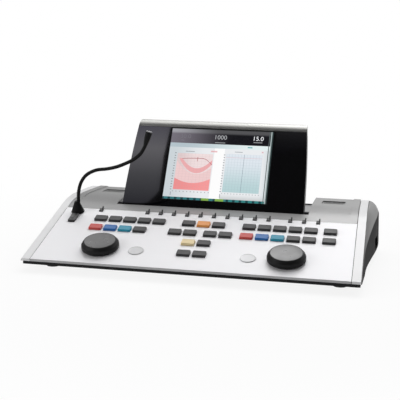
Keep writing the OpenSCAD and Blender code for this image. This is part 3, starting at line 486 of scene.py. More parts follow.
def screen_picture(name):
    """The screen's picture on its own UV map: a dark header, two graphs and a tool strip."""
    finish = Finish(name, (0.01, 0.01, 0.012), Emission_Strength=1.0, Roughness=0.12,
                    Coat_Weight=0.6, Coat_Roughness=0.03)
    picture = finish.node("ShaderNodeUVMap", {"uv_map": "picture"})
    u, v = [finish.axis(picture, letter) for letter in "XY"]

    def inside(value, low, high):
        return (value > low) * (value < high)

    def window(left, right, low, high):
        return inside(u, left, right) * inside(v, low, high)

    def lines(value, start, end, count, width):
        """Evenly spaced lines across a graph."""
        cell = (end - start) / count
        phase = finish.node("ShaderNodeMath", {"operation": "PINGPONG"}, {0: value - start, 1: cell / 2})
        return phase < width

    def grid(left, right, low, high, columns):
        """Graph paper of a window."""
        return lines(u, left, right, columns, 0.0012) + lines(v, low, high, GRAPH_ROWS, 0.0014) > 0.5

    def over(below, mask, colour):
        return finish.mix(mask, below, colour)

    def fade(value, low, high, first, second):
        return finish.mix(finish.ease(value, low, high), first, second)

    page = fade(u, 0.0, 0.4, (0.60, 0.66, 0.69), (0.84, 0.86, 0.88))
    page = over(page, finish.ease(u, 0.9, 1.0), (0.66, 0.72, 0.74))
    page = over(page, finish.ease(v, 0.12, 0.0) * (u > 0.545), (0.55, 0.58, 0.58))
    page = over(page, window(0.447, 0.547, 0.0, 0.735), (1, 1, 1))

    lift = (u - 0.29) * (u - 0.29)
    rosy = fade(u, 0.088, 0.3, (0.74, 0.60, 0.60), (0.88, 0.74, 0.74))
    rosy = over(rosy, v < 0.36 + 4.5 * lift, (0.87, 0.62, 0.62))
    rosy = over(rosy, (v > 0.372 + 6.2 * lift) * (v < 0.441 + 6.0 * lift) * (v < 0.575), (0.86, 0.42, 0.43))
    bowl = (u - 0.26) * (u - 0.26)
    rosy = over(rosy, v < 0.232 + 2.2 * bowl, fade(u, 0.09, 0.43, (0.86, 0.28, 0.28), (0.94, 0.33, 0.33)))
    fall = finish.node("ShaderNodeMath", {"operation": "MAXIMUM"}, {0: u - 0.33, 1: 0.0})
    trace = 0.584 - 0.35 * (u - 0.33) * (u - 0.33) - 7.4 * fall * fall
    rosy = over(rosy, inside(v - trace, -0.004, 0.004) * (u > 0.14), (0.42, 0.10, 0.12))
    rosy = over(rosy, window(0.287, 0.293, 0.54, 0.6), (0.5, 0.2, 0.2))
    rosy = over(rosy, 0.35 * grid(*LEFT_GRAPH, LEFT_COLUMNS), (0.55, 0.42, 0.44))
    page = over(page, window(*LEFT_GRAPH), rosy)

    pale = fade(v, 0.13, 0.62, (0.48, 0.66, 0.68), (0.76, 0.82, 0.88))
    pale = over(pale, 0.4 * grid(*RIGHT_GRAPH, RIGHT_COLUMNS), (0.36, 0.44, 0.50))
    pale = over(pale, inside(u, 0.740, 0.7435), (0.22, 0.28, 0.34))
    pale = over(pale, 0.5 * inside(v, 0.611, 0.616), (0.75, 0.25, 0.3))
    page = over(page, window(*RIGHT_GRAPH), pale)

    ticks = lines(v, *LEFT_GRAPH[2:], GRAPH_ROWS, 0.004) * inside(v, 0.12, 0.66)
    page = over(page, ticks * (inside(u, 0.06, 0.073) + inside(u, 0.543, 0.556)), (0.06, 0.07, 0.09))
    feet = (lines(u, *LEFT_GRAPH[:2], LEFT_COLUMNS, 0.005) * inside(u, 0.08, 0.445)
            + lines(u, *RIGHT_GRAPH[:2], RIGHT_COLUMNS, 0.004) * inside(u, 0.56, 0.925))
    page = over(page, 0.6 * feet * inside(v, 0.104, 0.116), (0.12, 0.14, 0.16))
    marks = (window(0.163, 0.252, 0.672, 0.682) + window(0.644, 0.721, 0.690, 0.700)
             + window(0.066, 0.074, 0.05, 0.10) + window(0.545, 0.553, 0.05, 0.10))
    page = over(page, 0.65 * marks, (0.16, 0.18, 0.22))
    page = over(page, 0.6 * window(0.411, 0.474, 0.678, 0.700), (0.75, 0.22, 0.25))
    page = over(page, 0.6 * window(0.905, 0.922, 0.695, 0.715), (0.7, 0.25, 0.3))

    bar = fade(u, 0.1, 0.9, (0.46, 0.55, 0.60), (0.80, 0.90, 0.90))
    page = over(page, v > 0.735, bar)
    page = over(page, window(0.765, 0.811, 0.758, 0.772), (0.05, 0.35, 0.36))
    head = fade(u, 0.0, 0.62, (0.17, 0.155, 0.185), (0.004, 0.004, 0.006))
    sheen = fade(u, 0.0, 0.5, (0.36, 0.36, 0.39), (0.085, 0.085, 0.09))
    head = over(head, finish.ease(v, 0.925, 0.965), sheen)
    page = over(page, v > 0.795, head)
    labels = window(0.44, 0.54, 0.812, 0.822) + window(0.815, 0.90, 0.836, 0.846)
    page = over(page, labels, (0.35, 0.36, 0.37))
    page = over(page, window(0.10, 0.13, 0.83, 0.84), (0.2, 0.19, 0.22))

    blocks = lines(u, 0.0, 1.0, 16, 0.012)
    strip = over(fade(u, 0.0, 0.9, (0.03, 0.17, 0.19), (0.03, 0.22, 0.22)), blocks,
                 (0.004, 0.05, 0.06))
    strip = over(strip, inside(u, 0.376, 0.448) + inside(u, 0.509, 0.591), (0.22, 0.42, 0.06))
    page = over(page, v < 0.031, strip)
    page = over(page, inside(u, 0.962, 0.970), (0.10, 0.13, 0.13))
    page = over(page, inside(u, 0.978, 0.988), (0.42, 0.50, 0.50))
    page = over(page, u > 0.988, (0.03, 0.05, 0.05))
    finish.feed("Emission Color", page)
    return finish.material


# Modelling

def select_only(piece):
    """Leaves one piece selected and active."""
    bpy.ops.object.select_all(action="DESELECT")
    piece.select_set(True)
    bpy.context.view_layer.objects.active = piece


def primitive(kind, name, **settings):
    """Adds one of the mesh primitives with nothing else selected."""
    bpy.ops.object.select_all(action="DESELECT")
    getattr(bpy.ops.mesh, f"primitive_{kind}_add")(**settings)
    piece = bpy.context.object
    piece.name = piece.data.name = name
    return piece


def block(name, low, high):
    """A block between two corners, in millimetres, as a start for shaping."""
    low, high = Vector(low) * MM, Vector(high) * MM
    piece = primitive("cube", name, size=1, location=(low + high) / 2)
    piece.scale = high - low
    bpy.ops.object.transform_apply(location=True, rotation=True, scale=True)
    return piece


class Shaping:
    """Edit mode on one piece, with its faces or edges picked by a test."""

    def __init__(self, piece):
        self.piece = piece

    def __enter__(self):
        select_only(self.piece)
        bpy.ops.object.mode_set(mode="EDIT")
        return self

    def __exit__(self, *stopped):
        bpy.ops.object.mode_set(mode="OBJECT")

    def pick(self, kind, test):
        """Selects only the parts of a kind that pass the test."""
        bpy.ops.mesh.select_mode(type=kind)
        bpy.ops.mesh.select_all(action="DESELECT")
        shape = bmesh.from_edit_mesh(self.piece.data)
        for part in {"FACE": shape.faces, "EDGE": shape.edges}[kind]:
            if test(part):
                part.select_set(True)
        shape.select_flush_mode()
        bmesh.update_edit_mesh(self.piece.data)

    def step_in(self, share, rise):
        """Extrudes the picked face, shrinks it to a share of its size and lifts it by millimetres."""
        bpy.ops.mesh.extrude_region_move()
        shape = bmesh.from_edit_mesh(self.piece.data)
        picked = [f for f in shape.faces if f.select]
        centre = sum((middle(f) for f in picked), Vector()) / len(picked)
        bpy.ops.transform.resize(value=(share, share, share), center_override=centre)
        bpy.ops.transform.translate(value=(0, 0, rise * MM))


def middle(part):
    """Middle of an edge or face."""
    return sum((v.co for v in part.verts), Vector()) / len(part.verts)


def upright(edge):
    """Whether an edge stands along z."""
    run = edge.verts[1].co - edge.verts[0].co
    return abs(run.z) > 0.9 * run.length


def chamfer_end(piece, side, inset, rise):
    """Insets the face that looks to a side and pushes it out, by millimetres."""
    with Shaping(piece) as shape:
        shape.pick("FACE", lambda f: f.normal.dot(side) > 0.9)
        bpy.ops.mesh.inset(thickness=inset * MM)
        bpy.ops.transform.translate(value=side * rise * MM)


def spun(name, outline, steps):
    """A turned piece: an outline of radius and height in millimetres, spun about the z axis."""
    mesh = bpy.data.meshes.new(name)
    points = [(radius * MM, 0, height * MM) for radius, height in outline]
    mesh.from_pydata(points, [(i, i + 1) for i in range(len(points) - 1)], [])
    piece = bpy.data.objects.new(name, mesh)
    bpy.context.scene.collection.objects.link(piece)
    with Shaping(piece):
        bpy.ops.mesh.select_all(action="SELECT")
        bpy.ops.mesh.spin(steps=steps, angle=math.tau, center=(0, 0, 0), axis=(0, 0, 1))
        bpy.ops.mesh.select_all(action="SELECT")
        bpy.ops.mesh.remove_doubles(threshold=1e-6)
        bpy.ops.mesh.normals_make_consistent(inside=False)
    return piece


def arc(centre, radius, start, end, count):
    """Points of an arc of an outline, its angles in degrees from the radius axis."""
    angles = [math.radians(start + (end - start) * i / count) for i in range(count + 1)]
    return [(centre[0] + radius * math.cos(a), centre[1] + radius * math.sin(a)) for a in angles]


def modify(piece, kind, **settings):
    """Adds a modifier and applies it."""
    select_only(piece)
    modifier = piece.modifiers.new(kind.title(), kind)
    for name, value in settings.items():
        setattr(modifier, name, value)
    bpy.ops.object.modifier_apply(modifier=modifier.name)


def smooth(piece, angle=35):
    """Shades a piece smooth across its shallow edges, with its large faces kept flat."""
    select_only(piece)
    bpy.ops.object.shade_smooth_by_angle(angle=math.radians(angle))
    modify(piece, "WEIGHTED_NORMAL", keep_sharp=True, weight=60)


def copy_of(piece, name, place):
    """A copy with its own mesh, moved to its place in that mesh."""
    twin = piece.copy()
    twin.data = piece.data.copy()
    twin.name = twin.data.name = name
    bpy.context.scene.collection.objects.link(twin)
    twin.data.transform(place)
    return twin


def discard(piece):
    """Removes a pattern piece once its copies are made."""
    bpy.data.objects.remove(piece)


def dress(piece, body, slot, *materials, replaces=()):
    """Gives a piece its materials and body, and hides the CAD nodes it stands for; its slot is not used."""
    piece.data.materials.clear()
    for material in materials:
        piece.data.materials.append(material)
    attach(piece, body)
    if replaces:
        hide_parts(*replaces)
    return piece


def paint_faces(piece, index, test):
    """Gives the faces that pass a test another of the piece's materials."""
    for face in piece.data.polygons:
        if test(face):
            face.material_index = index


def refined(node, name, edge=0.0, angle=35, segments=2, reshape=None):
    """A finished copy of a CAD node: merged, its flat faces made whole, reshaped and its edges rounded."""
    source = frame["nodes"][node]
    piece = bpy.data.objects.new(name, source.data.copy())
    piece.data.name = name
    bpy.context.scene.collection.objects.link(piece)
    with Shaping(piece):
        bpy.ops.mesh.select_all(action="SELECT")
        bpy.ops.mesh.remove_doubles(threshold=2e-6)
        bpy.ops.mesh.dissolve_limited(angle_limit=math.radians(0.4))
    if reshape:
        reshape(piece)
    if edge:
        modify(piece, "BEVEL", width=edge, segments=segments, limit_method="ANGLE",
               angle_limit=math.radians(angle), use_clamp_overlap=True, harden_normals=False)
    smooth(piece, angle)
    return piece


class AUDIOMETER_OT_covers(bpy.types.Operator):
    """Round and finish the tray, key panel, deck, trims, cheeks and feet"""
    bl_idname = "audiometer.covers"
    bl_label = "Covers"

    def execute(self, context):
        edge = context.scene.audiometer_sizes.cover_edge
        tray = refined("base_tray", "tray", edge)
        dress(tray, "console", "black_plastic", PAINT["tray_black"], replaces=["base_tray"])
        panel = refined("control_plate", "key_panel", reshape=self.crisp_front)
        dress(panel, "console", "brushed_plate", PAINT["satin_plate"], PAINT["plate_lip"],
              replaces=["control_plate"])
        # The lip's faces get the darker colour: painted shade on the plate's own satin metal
        lip_end = PANEL.translation.y + 2 * MM
        paint_faces(panel, 1, lambda f: f.normal.y < -0.9 and f.center.y < lip_end)
        deck = refined("rear_housing", "deck", edge)
        dress(deck, "console", "grey_paint", PAINT["deck_paint"], replaces=["rear_housing"])
        trims = refined("end_trims", "trims", edge)
        dress(trims, "console", "white_trim", PAINT["trim_white"], replaces=["end_trims"])
        for side, _ in SIDES:
            self.cheek(side)
        # Painted shade: a black strip down each joint beside the key panel
        for side, sign in SIDES:
            self.joint_shade_strip(side, sign)
        feet = refined("feet", "rubber_feet", edge)
        dress(feet, "console", "foot_rubber", PAINT["foot_rubber"], replaces=["feet"])
        return {"FINISHED"}

    @staticmethod
    def crisp_front(panel):
        """Brings the folded front edge up to the panel's face, so that the lip starts right below it."""
        edge = PANEL.translation

        def folded(corner):
            return abs(corner.co.y - edge.y) < 0.01 * MM and corner.co.z > edge.z - 1 * MM

        for corner in panel.data.vertices:
            if folded(corner):
                corner.co.z = edge.z - 0.1 * MM
        with Shaping(panel) as shape:
            shape.pick("EDGE", lambda e: folded(e.verts[0]) and folded(e.verts[1]))
            bpy.ops.mesh.bevel(offset=0.2 * MM, segments=3, affect="EDGES")

    @staticmethod
    def joint_shade_strip(side, sign):
        """A black strip in the joint between the key panel and a trim: painted shade that stands for the dark
        inside the gap.
        """
        low, high = local_box("control_plate", PANEL)
        outer = high.x + 0.75 * MM
        left, right = sorted((sign * high.x, sign * outer))
        joint_shade = block(f"{side}_seal", (left / MM, low.y / MM + 1, -1.6), (right / MM, high.y / MM - 1, -0.35))
        with Shaping(joint_shade) as shape:
            shape.pick("EDGE", lambda e: middle(e).z > -0.5 * MM and e.verts[0].co.x == e.verts[1].co.x)
            bpy.ops.mesh.bevel(offset=0.15 * MM, segments=2, affect="EDGES")
        smooth(joint_shade)
        joint_shade.data.transform(PANEL)
        dress(joint_shade, "console", "foot_rubber", PAINT["foot_rubber"])

    @staticmethod
    def cheek(side):
        """A cheek, its shoulder smooth down to the crease."""
        cheek = refined(f"{side}_cheek", f"{side}_flank", angle=28)
        dress(cheek, "console", "cheek_plastic", PAINT["cheek_skin"], replaces=[f"{side}_cheek"])


class AUDIOMETER_OT_key_caps(bpy.types.Operator):
    """Model one key cap and set a copy of it over every key of the panel"""
    bl_idname = "audiometer.key_caps"
    bl_label = "Key Caps"

    SLOTS = {"key_grey": "grey_cap", "key_red": "red_cap", "key_blue": "blue_cap",
             "key_cyan": "cyan_cap", "key_orange": "orange_cap", "key_cream": "cream_cap"}
    FLANGE = 0.8

    def execute(self, context):
        sizes = context.scene.audiometer_sizes
        width, depth, _ = self.cap_of(KEY_NODES[0])
        pattern = key_cap("key_cap", width, depth, sizes)
        for node in KEY_NODES:
            slot = SLOT_OF[node]
            cap = copy_of(pattern, f"{node}_cap", self.cap_of(node)[2])
            dress(cap, BODY_OF[node], slot, PAINT[self.SLOTS[slot]], replaces=[node])
        discard(pattern)
        width, depth, place = self.cap_of("talk_key")
        talk = key_cap("talk_key_cap", width, depth, sizes)
        with Shaping(talk) as shape:
            shape.pick("FACE", lambda f: f.normal.z > 0.9 and f.calc_area() > 40 * MM * MM)
            shape.step_in(0.9, 0)
            shape.step_in(0.9, 0.9)
        smooth(talk, 40)
        talk.data.transform(place)
        dress(talk, "talk_key", "key_black", PAINT["black_cap"], replaces=["talk_key"])
        return {"FINISHED"}

    def cap_of(self, node):
        """Width and depth of the cap over a key, in millimetres, and its place on the panel."""
        low, high = local_box(node, PANEL)
        width = (high.x - low.x) / MM - 2 * self.FLANGE
        depth = (high.y - low.y) / MM - 2 * self.FLANGE
        return width, depth, on_panel(((low.x + high.x) / 2, low.y + self.FLANGE * MM, 0))


def key_cap(name, width, depth, sizes):
    """A wedge-shaped cap, its front edge on the x axis: rounded corners and edges, a shallow dish on top."""
    height = sizes.key_height / MM
    sink = sizes.key_sink / MM
    front_drop = 0.5
    front_lean = 0.6
    cap = block(name, (-width / 2, 0, -sink), (width / 2, depth, height))

    def rims_top(edge):
        slopes = [face.normal.z for face in edge.link_faces]
        return middle(edge).z > 0.3 * height * MM and min(slopes) < 0.8 < max(slopes)

    with Shaping(cap) as shape:
        shape.pick("EDGE", lambda e: middle(e).z > 0.9 * height * MM and middle(e).y < 0.1 * depth * MM)
        bpy.ops.transform.translate(value=(0, front_lean * MM, -front_drop * MM))
        shape.pick("EDGE", upright)
        bpy.ops.mesh.bevel(offset=sizes.key_round, segments=4, affect="EDGES")
        shape.pick("EDGE", lambda e: not upright(e) and rims_top(e))
        bpy.ops.mesh.bevel(offset=sizes.key_edge, segments=4, affect="EDGES")
        shape.pick("FACE", lambda f: f.normal.z > 0.9 and f.calc_area() > 0.3 * width * depth * MM * MM)
        shape.step_in(0.88, -0.10)
        shape.step_in(0.72, -0.14)
    smooth(cap, 40)
    return cap


class AUDIOMETER_OT_soft_keys(bpy.types.Operator):
    """Round and finish the soft keys below the screen and at both sides"""
    bl_idname = "audiometer.soft_keys"
    bl_label = "Soft Keys"

    def execute(self, context):
        for node in ("left_soft_key", "screen_soft_keys", "right_soft_keys"):
            strip = refined(node, f"{node}_caps", 0.35 * MM, 30, 3)
            dress(strip, BODY_OF[node], "key_black", PAINT["black_cap"], replaces=[node])
        return {"FINISHED"}


class AUDIOMETER_OT_dials(bpy.types.Operator):
    """Turn the two dials, with a soft-touch top in a belled rubber rim"""
    bl_idname = "audiometer.dials"
    bl_label = "Dials"

    GAP = 0.8

    def execute(self, context):
        height = context.scene.audiometer_sizes.dial_height / MM
        low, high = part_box("left_dial")
        radius = (high.x - low.x) / 2 / MM
        outline = [(0.001, 0.2), (radius - 2.2, 0.2), (radius - 1.6, 0)]
        outline += arc((radius - 1.8, 1.8), 1.8, -80, 0, 5)
        outline += [(radius, 3.4)]
        outline += arc((radius - 5.2, 4.8), 5.2, 0, 58, 8)
        outline += arc((radius - 5.0, height - 2.2), 2.2, 58, 100, 5)
        outline += [(radius - 7.2, height - 0.22), (radius - 9, height - 0.42), (radius * 0.5, height - 0.75),
                    (0.001, height - 0.85)]
        pattern = spun("dial", outline, 96)
        smooth(pattern, 50)
        for side, _ in SIDES:
            node = f"{side}_dial"
            low, high = local_box(node, PANEL)
            place = on_panel(((low.x + high.x) / 2, (low.y + high.y) / 2, self.GAP * MM))
            dial = copy_of(pattern, f"{side}_dial_wheel", place)
            dress(dial, node, "dial_rubber", PAINT["dial_rubber"], PAINT["dial_top"], replaces=[node])
            out = PANEL.to_3x3() @ UP
            rim = (radius - 6.2) * MM
            paint_faces(dial, 1, lambda f: f.normal.dot(out) > 0.9 and on_top(f, place.translation, out, rim))
        discard(pattern)
        return {"FINISHED"}


def on_top(face, centre, out, radius):
    """Whether a face lies within a radius of an axis and out on its far side."""
    offset = face.center - centre
    rise = offset.dot(out)
    return rise > 5 * MM and (offset - rise * out).length < radius


class AUDIOMETER_OT_touch_pads(bpy.types.Operator):
    """Turn the two silver touch pads with their raised rims"""
    bl_idname = "audiometer.touch_pads"
    bl_label = "Touch Pads"

    def execute(self, context):
        low, high = local_box("touch_pads", PANEL)
        radius = (high.y - low.y) / 2 / MM
        top = high.z / MM
        outline = [(0.001, -0.9), (radius, -0.9), (radius, top - 0.4)]
        outline += arc((radius - 0.4, top - 0.4), 0.4, 0, 90, 4)
        outline += [(radius - 1.0, top), (radius - 1.5, top - 0.25), (radius - 2.2, top - 0.38),
                    (radius * 0.5, top - 0.44), (0.001, top - 0.46)]
        pattern = spun("touch_pad", outline, 96)
        smooth(pattern, 40)
        reach_x = high.x - radius * MM
        for side, sign in SIDES:
            place = on_panel((sign * reach_x, (low.y + high.y) / 2, 0))
            pad = copy_of(pattern, f"{side}_touch_pad", place)
            dress(pad, "console", "pad_metal", PAINT["pad_metal"], replaces=["touch_pads"])
        discard(pattern)
        return {"FINISHED"}


class AUDIOMETER_OT_display(bpy.types.Operator):
    """Finish the display's lacquered front, silver band, back shell and hinge pins"""
    bl_idname = "audiometer.display"
    bl_label = "Display"

    END_DRAW = 9
    END_RISE = 5

    def execute(self, context):
        front = refined("display_bezel", "display_front", 0.4 * MM)
        dress(front, "display", "gloss_black", PAINT["piano_black"], replaces=["display_bezel"])
        shell = refined("display_back_shell", "display_shell", 0.5 * MM, 40, 3, self.shape_band)
        seam = DISPLAY @ Vector((0, self.face_end(), 0))
        dress(shell, "display", "silver_shell", PAINT["shell_grey"], PAINT["silver_band"],
              replaces=["display_back_shell"])
        along = uphill(DISPLAY_TILT)
        paint_faces(shell, 1, lambda f: (f.center - seam).dot(along) > 0)
        keep("lcd_module", PAINT["lcd_metal"])
        keep("hinge_pins", PAINT["dark_steel"])
        return {"FINISHED"}

    @staticmethod
    def face_end():
        """Where the display's face ends and its silver band begins."""
        return local_box("display_bezel", DISPLAY)[1].y

    def shape_band(self, shell):
        """Parts the band from the shell and rounds its ends inwards, the more the further it rolls back."""
        face_end = self.face_end()
        with Shaping(shell):
            bpy.ops.mesh.select_all(action="SELECT")
            bpy.ops.mesh.bisect(plane_co=DISPLAY @ Vector((0, face_end, 0)), plane_no=uphill(DISPLAY_TILT))
        low, high = local_box("display_back_shell", DISPLAY)
        back = DISPLAY.inverted()
        for corner in shell.data.vertices:
            spot = back @ corner.co
            rise = (spot.y - face_end) / (self.END_RISE * MM)
            if abs(spot.x) < high.x - 0.01 * MM or rise <= 0:
                continue
            depth = min(1, -spot.z / (high.z - low.z))
            draw = self.END_DRAW * MM * math.sin(math.pi / 2 * depth) ** 1.3 * min(1, rise)
            corner.co.x -= math.copysign(draw, spot.x)


def keep(node, material):
    """A CAD node whose shape stays gets its finish on its own slots."""
    piece = frame["nodes"][node]
    if not piece.material_slots:
        piece.data.materials.append(material)
    for slot in piece.material_slots:
        slot.material = material


class AUDIOMETER_OT_screen(bpy.types.Operator):
    """Light the screen: its cover glass with the picture, and three plain number readouts"""
    bl_idname = "audiometer.screen"
    bl_label = "Screen"

    READOUTS = (("30.0", 0.087, 0.866, "readout_dim"), ("1000", 0.425, 0.866, "readout_grey"),
                ("15.0", 0.802, 0.868, "readout_bright"))
    CAP_HEIGHT = 7.6
    CAP_SHARE = 0.7

    def execute(self, context):
        low, high = local_box("display_glass", DISPLAY)
        glass = block("screen_glass", tuple(low / MM), tuple(high / MM))
        with Shaping(glass) as shape:
            shape.pick("EDGE", lambda e: middle(e).z > high.z - 0.01 * MM)
            bpy.ops.mesh.bevel(offset=0.2 * MM, segments=2, affect="EDGES")
        if "picture" not in glass.data.uv_layers:
            glass.data.uv_layers.new(name="picture")
        layer = glass.data.uv_layers["picture"]
        for loop in glass.data.loops:
            spot = glass.data.vertices[loop.vertex_index].co - low
            layer.data[loop.index].uv = (spot.x / (high.x - low.x), spot.y / (high.y - low.y))
        glass.data.uv_layers.active = layer
        layer.active_render = True
        smooth(glass, 30)
        glass.data.transform(DISPLAY)
        dress(glass, "display", "screen_glass", PAINT["screen_picture"], replaces=["display_glass"])
        for text, u, v, finish in self.READOUTS:
            corner = low + Vector((u * (high.x - low.x), v * (high.y - low.y), 0))
            self.readout(text, corner, high.z, PAINT[finish])
        return {"FINISHED"}

    def readout(self, text, corner, height, material):
        """Plain digits a hair above the glass."""
        bpy.ops.object.select_all(action="DESELECT")
        bpy.ops.object.text_add(location=(0, 0, 0))
        words = bpy.context.object
        words.data.body = text
        words.data.size = self.CAP_HEIGHT * MM / self.CAP_SHARE
        words.data.extrude = 0.02 * MM
        bpy.ops.object.convert(target="MESH")
        digits = bpy.context.object
        digits.name = f"readout_{int(float(text))}"
        digits.data.transform(DISPLAY @ Matrix.Translation((corner.x, corner.y, height + 0.04 * MM)))
        dress(digits, "display", "screen_glass", material)


class AUDIOMETER_OT_microphone(bpy.types.Operator):
    """Model the microphone's boot, gooseneck and capsule"""
    bl_idname = "audiometer.microphone"
    bl_label = "Microphone"

    # The gooseneck's points in millimetres from the boot's top
    ROUTE = ((2, 3, -7), (2.0, 2, 5), (3.0, 1, 18), (7.5, 0, 32), (17, -1, 44), (33, -3, 52), (51, -5, 55),
             (67, -8, 59), (82, -10.5, 65), (96.5, -12.5, 72.5), (108, -14, 82), (114.2, -14.5, 92),
             (115.5, -14.4, 95))
    CAPSULE_LENGTH = 23.4

    def execute(self, context):
        sizes = context.scene.audiometer_sizes
        low, high = local_box("mic_boot", PANEL)
        spot = Vector(((low.x + high.x) / 2, (low.y + high.y) / 2, 0))
        radius = (high.x - low.x) / 2 / MM
        height = high.z / MM
        neck = sizes.neck_width / MM / 2
        outline = [(0.001, 0.3), (radius - 0.6, 0.3)] + arc((radius - 0.8, 1.1), 0.8, -80, 20, 4)
        outline += [(radius - 1.1, 3.2), (radius - 2.1, 6.2), (radius - 3.2, 9.4), (radius - 4.5, 12.6),
                    (radius - 5.6, 15.4)]
        outline += [(neck + 1.6, height - 1.6), (neck + 1.1, height - 0.6), (neck + 0.7, height),
                    (0.001, height)]
        boot = spun("microphone_boot", outline, 64)
        smooth(boot, 40)
        boot.data.transform(on_panel(spot))
        dress(boot, "microphone", "black_rubber", PAINT["neck_black"], replaces=["mic_boot"])
        root = PANEL @ (spot + Vector((0, 0, high.z)))
        points = [root + Vector(point) * MM for point in self.ROUTE]
        self.gooseneck(points, sizes.neck_width / 2)
        self.capsule(points[-1], sizes.capsule_width / MM / 2, neck)
        return {"FINISHED"}

    def gooseneck(self, points, radius):
        """A smooth round tube through the route's points."""
        curve = bpy.data.curves.new("gooseneck", "CURVE")
        curve.dimensions = "3D"
        curve.bevel_depth = radius
        curve.bevel_resolution = 5
        curve.resolution_u = 12
        curve.use_fill_caps = True
        line = curve.splines.new("BEZIER")
        line.bezier_points.add(len(points) - 1)
        for i, bend in enumerate(line.bezier_points):
            before, after = points[max(0, i - 1)], points[min(len(points) - 1, i + 1)]
            bend.co = points[i]
            bend.handle_left = points[i] - (after - before) / 6
            bend.handle_right = points[i] + (after - before) / 6
        piece = bpy.data.objects.new("gooseneck", curve)
        bpy.context.scene.collection.objects.link(piece)
        select_only(piece)
        bpy.ops.object.convert(target="MESH")
        piece = bpy.context.object
        smooth(piece, 40)
        dress(piece, "microphone", "black_rubber", PAINT["neck_black"], replaces=["mic_gooseneck"])

    def capsule(self, foot, radius, neck):
        """A flared capsule with a silver mesh end."""
        axis = Vector((3.8, 0.6, 14)).normalized()
        length = self.CAPSULE_LENGTH
        outline = [(0.001, 0.1), (neck, 0.1), (neck + 0.5, 2.0), (radius - 1.1, 7.5), (radius - 0.4, 12),
                   (radius, length - 4), (radius, length - 1.6), (radius - 0.15, length - 1.4),
                   (0.001, length - 1.4)]
        turn = axis.to_track_quat("Z", "Y").to_matrix().to_4x4()
        place = Matrix.Translation(foot) @ turn
        body = spun("capsule_body", outline, 48)
        smooth(body, 40)
        body.data.transform(place)
        dress(body, "microphone", "black_rubber", PAINT["neck_black"], replaces=["mic_capsule"])
        tip = [(0.001, length - 1.5), (radius - 0.25, length - 1.5), (radius - 0.25, length - 0.5)]
        tip += arc((radius - 0.75, length - 0.5), 0.5, 0, 90, 4) + [(radius - 1.3, length - 0.25),
                                                                    (0.001, length - 0.3)]
        cap = spun("capsule_grille", tip, 48)
        smooth(cap, 40)
        cap.data.transform(place)
        dress(cap, "microphone", "pin_steel", PAINT["capsule_mesh"])


class AUDIOMETER_OT_grilles(bpy.types.Operator):
    """Finish the slotted loudspeaker grilles and lay cloth behind them"""
    bl_idname = "audiometer.grilles"
    bl_label = "Grilles"

    def execute(self, context):
        grilles = refined("speaker_grilles", "speaker_slots", 0.3 * MM)
        dress(grilles, "console", "grille_plastic", PAINT["grille_grey"], replaces=["speaker_grilles"])
        low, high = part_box("speaker_grilles")
        for side, sign in SIDES:
            far, near = high.x - 1.5 * MM, high.x - 36 * MM
            left, right = sorted((sign * far, sign * near))
            cloth = block(f"{side}_speaker_cloth", (left / MM, low.y / MM + 1.5, low.z / MM - 0.02),
                          (right / MM, high.y / MM - 1.5, low.z / MM + 0.3))
            chamfer_end(cloth, UP, 1, 0.15)
            dress(cloth, "console", "grille_plastic", PAINT["grille_cloth"])
        return {"FINISHED"}


class AUDIOMETER_OT_sockets(bpy.types.Operator):
    """Finish the rear socket plate, with collars on the jacks and contacts in the inlet"""
    bl_idname = "audiometer.sockets"
    bl_label = "Sockets"

    HEIGHT = 31.8
    FACE = 181.0
    TO_REAR = Matrix.Rotation(-math.pi / 2, 4, "X")
    JACKS = [-22 * i for i in range(6)]
    INLET_X = 130
    BUSH = ((3.25, -3.0), (3.25, 0.35), (3.5, 0.6), (4.3, 0.6), (4.6, 0.35), (4.6, -0.5), (3.6, -0.5),
            (3.6, -3.0), (3.25, -3.0))
    SPRUNG_CONTACT = ((0.001, -13.9), (1.9, -13.9), (1.9, -12.6), (1.5, -12.2), (0.9, -12.2), (0.7, -12.6),
                      (0.001, -12.6))

    def execute(self, context):
        plate = refined("connector_panel", "socket_plate", 0.25 * MM)
        dress(plate, "console", "switch_plastic", PAINT["black_plastic"], replaces=["connector_panel"])
        keep("power_switch", PAINT["switch_black"])
        self.jacks()
        self.inlet()
        self.data_tongue()
        return {"FINISHED"}

    def jacks(self):
        """A turned bush in every jack, with the sprung contact deep inside."""
        bush = spun("jack_bush", self.BUSH, 40)
        smooth(bush, 40)
        contact = spun("jack_contact", self.SPRUNG_CONTACT, 24)
        smooth(contact, 40)
        for i, x in enumerate(self.JACKS):
            place = Matrix.Translation(Vector((x, self.FACE, self.HEIGHT)) * MM) @ self.TO_REAR
            dress(copy_of(bush, f"jack_bush_{i + 1}", place), "console", "pin_steel", PAINT["steel"])
            spring = copy_of(contact, f"jack_contact_{i + 1}", place)
            dress(spring, "console", "pin_steel", PAINT["gold_contact"])
        discard(bush)
        discard(contact)

    def inlet(self):
        """Three flat blades standing in the mains inlet."""
        for name, x, z in (("earth", 0, 3.4), ("left", -7, -2.4), ("right", 7, -2.4)):
            spot = Vector((self.INLET_X + x, 162, self.HEIGHT + z))
            blade = block(f"inlet_{name}_blade", spot - Vector((1, 0, 2)), spot + Vector((1, 14, 2)))
            chamfer_end(blade, REARWARD, 0.3, 1.2)
            smooth(blade)
            dress(blade, "console", "pin_steel", PAINT["steel"])

    def data_tongue(self):
        """The tongue in the data socket, with its four contacts."""
        tongue = block("data_tongue", (35.6, 168, 32.2), (44.4, 177, 34.2))
        chamfer_end(tongue, REARWARD, 0.3, 0.5)
        smooth(tongue)
        dress(tongue, "console", "switch_plastic", PAINT["trim_white"])
        for i in range(4):
            x = 37 + 2 * i
            contact = block(f"data_contact_{i + 1}", (x - 0.5, 169, 32.05), (x + 0.5, 176, 32.25))
            with Shaping(contact) as shape:
                shape.pick("EDGE", lambda e: middle(e).y > 175.9 * MM and not upright(e))
                bpy.ops.mesh.bevel(offset=0.08 * MM, segments=1, affect="EDGES")
            dress(contact, "console", "pin_steel", PAINT["gold_contact"])


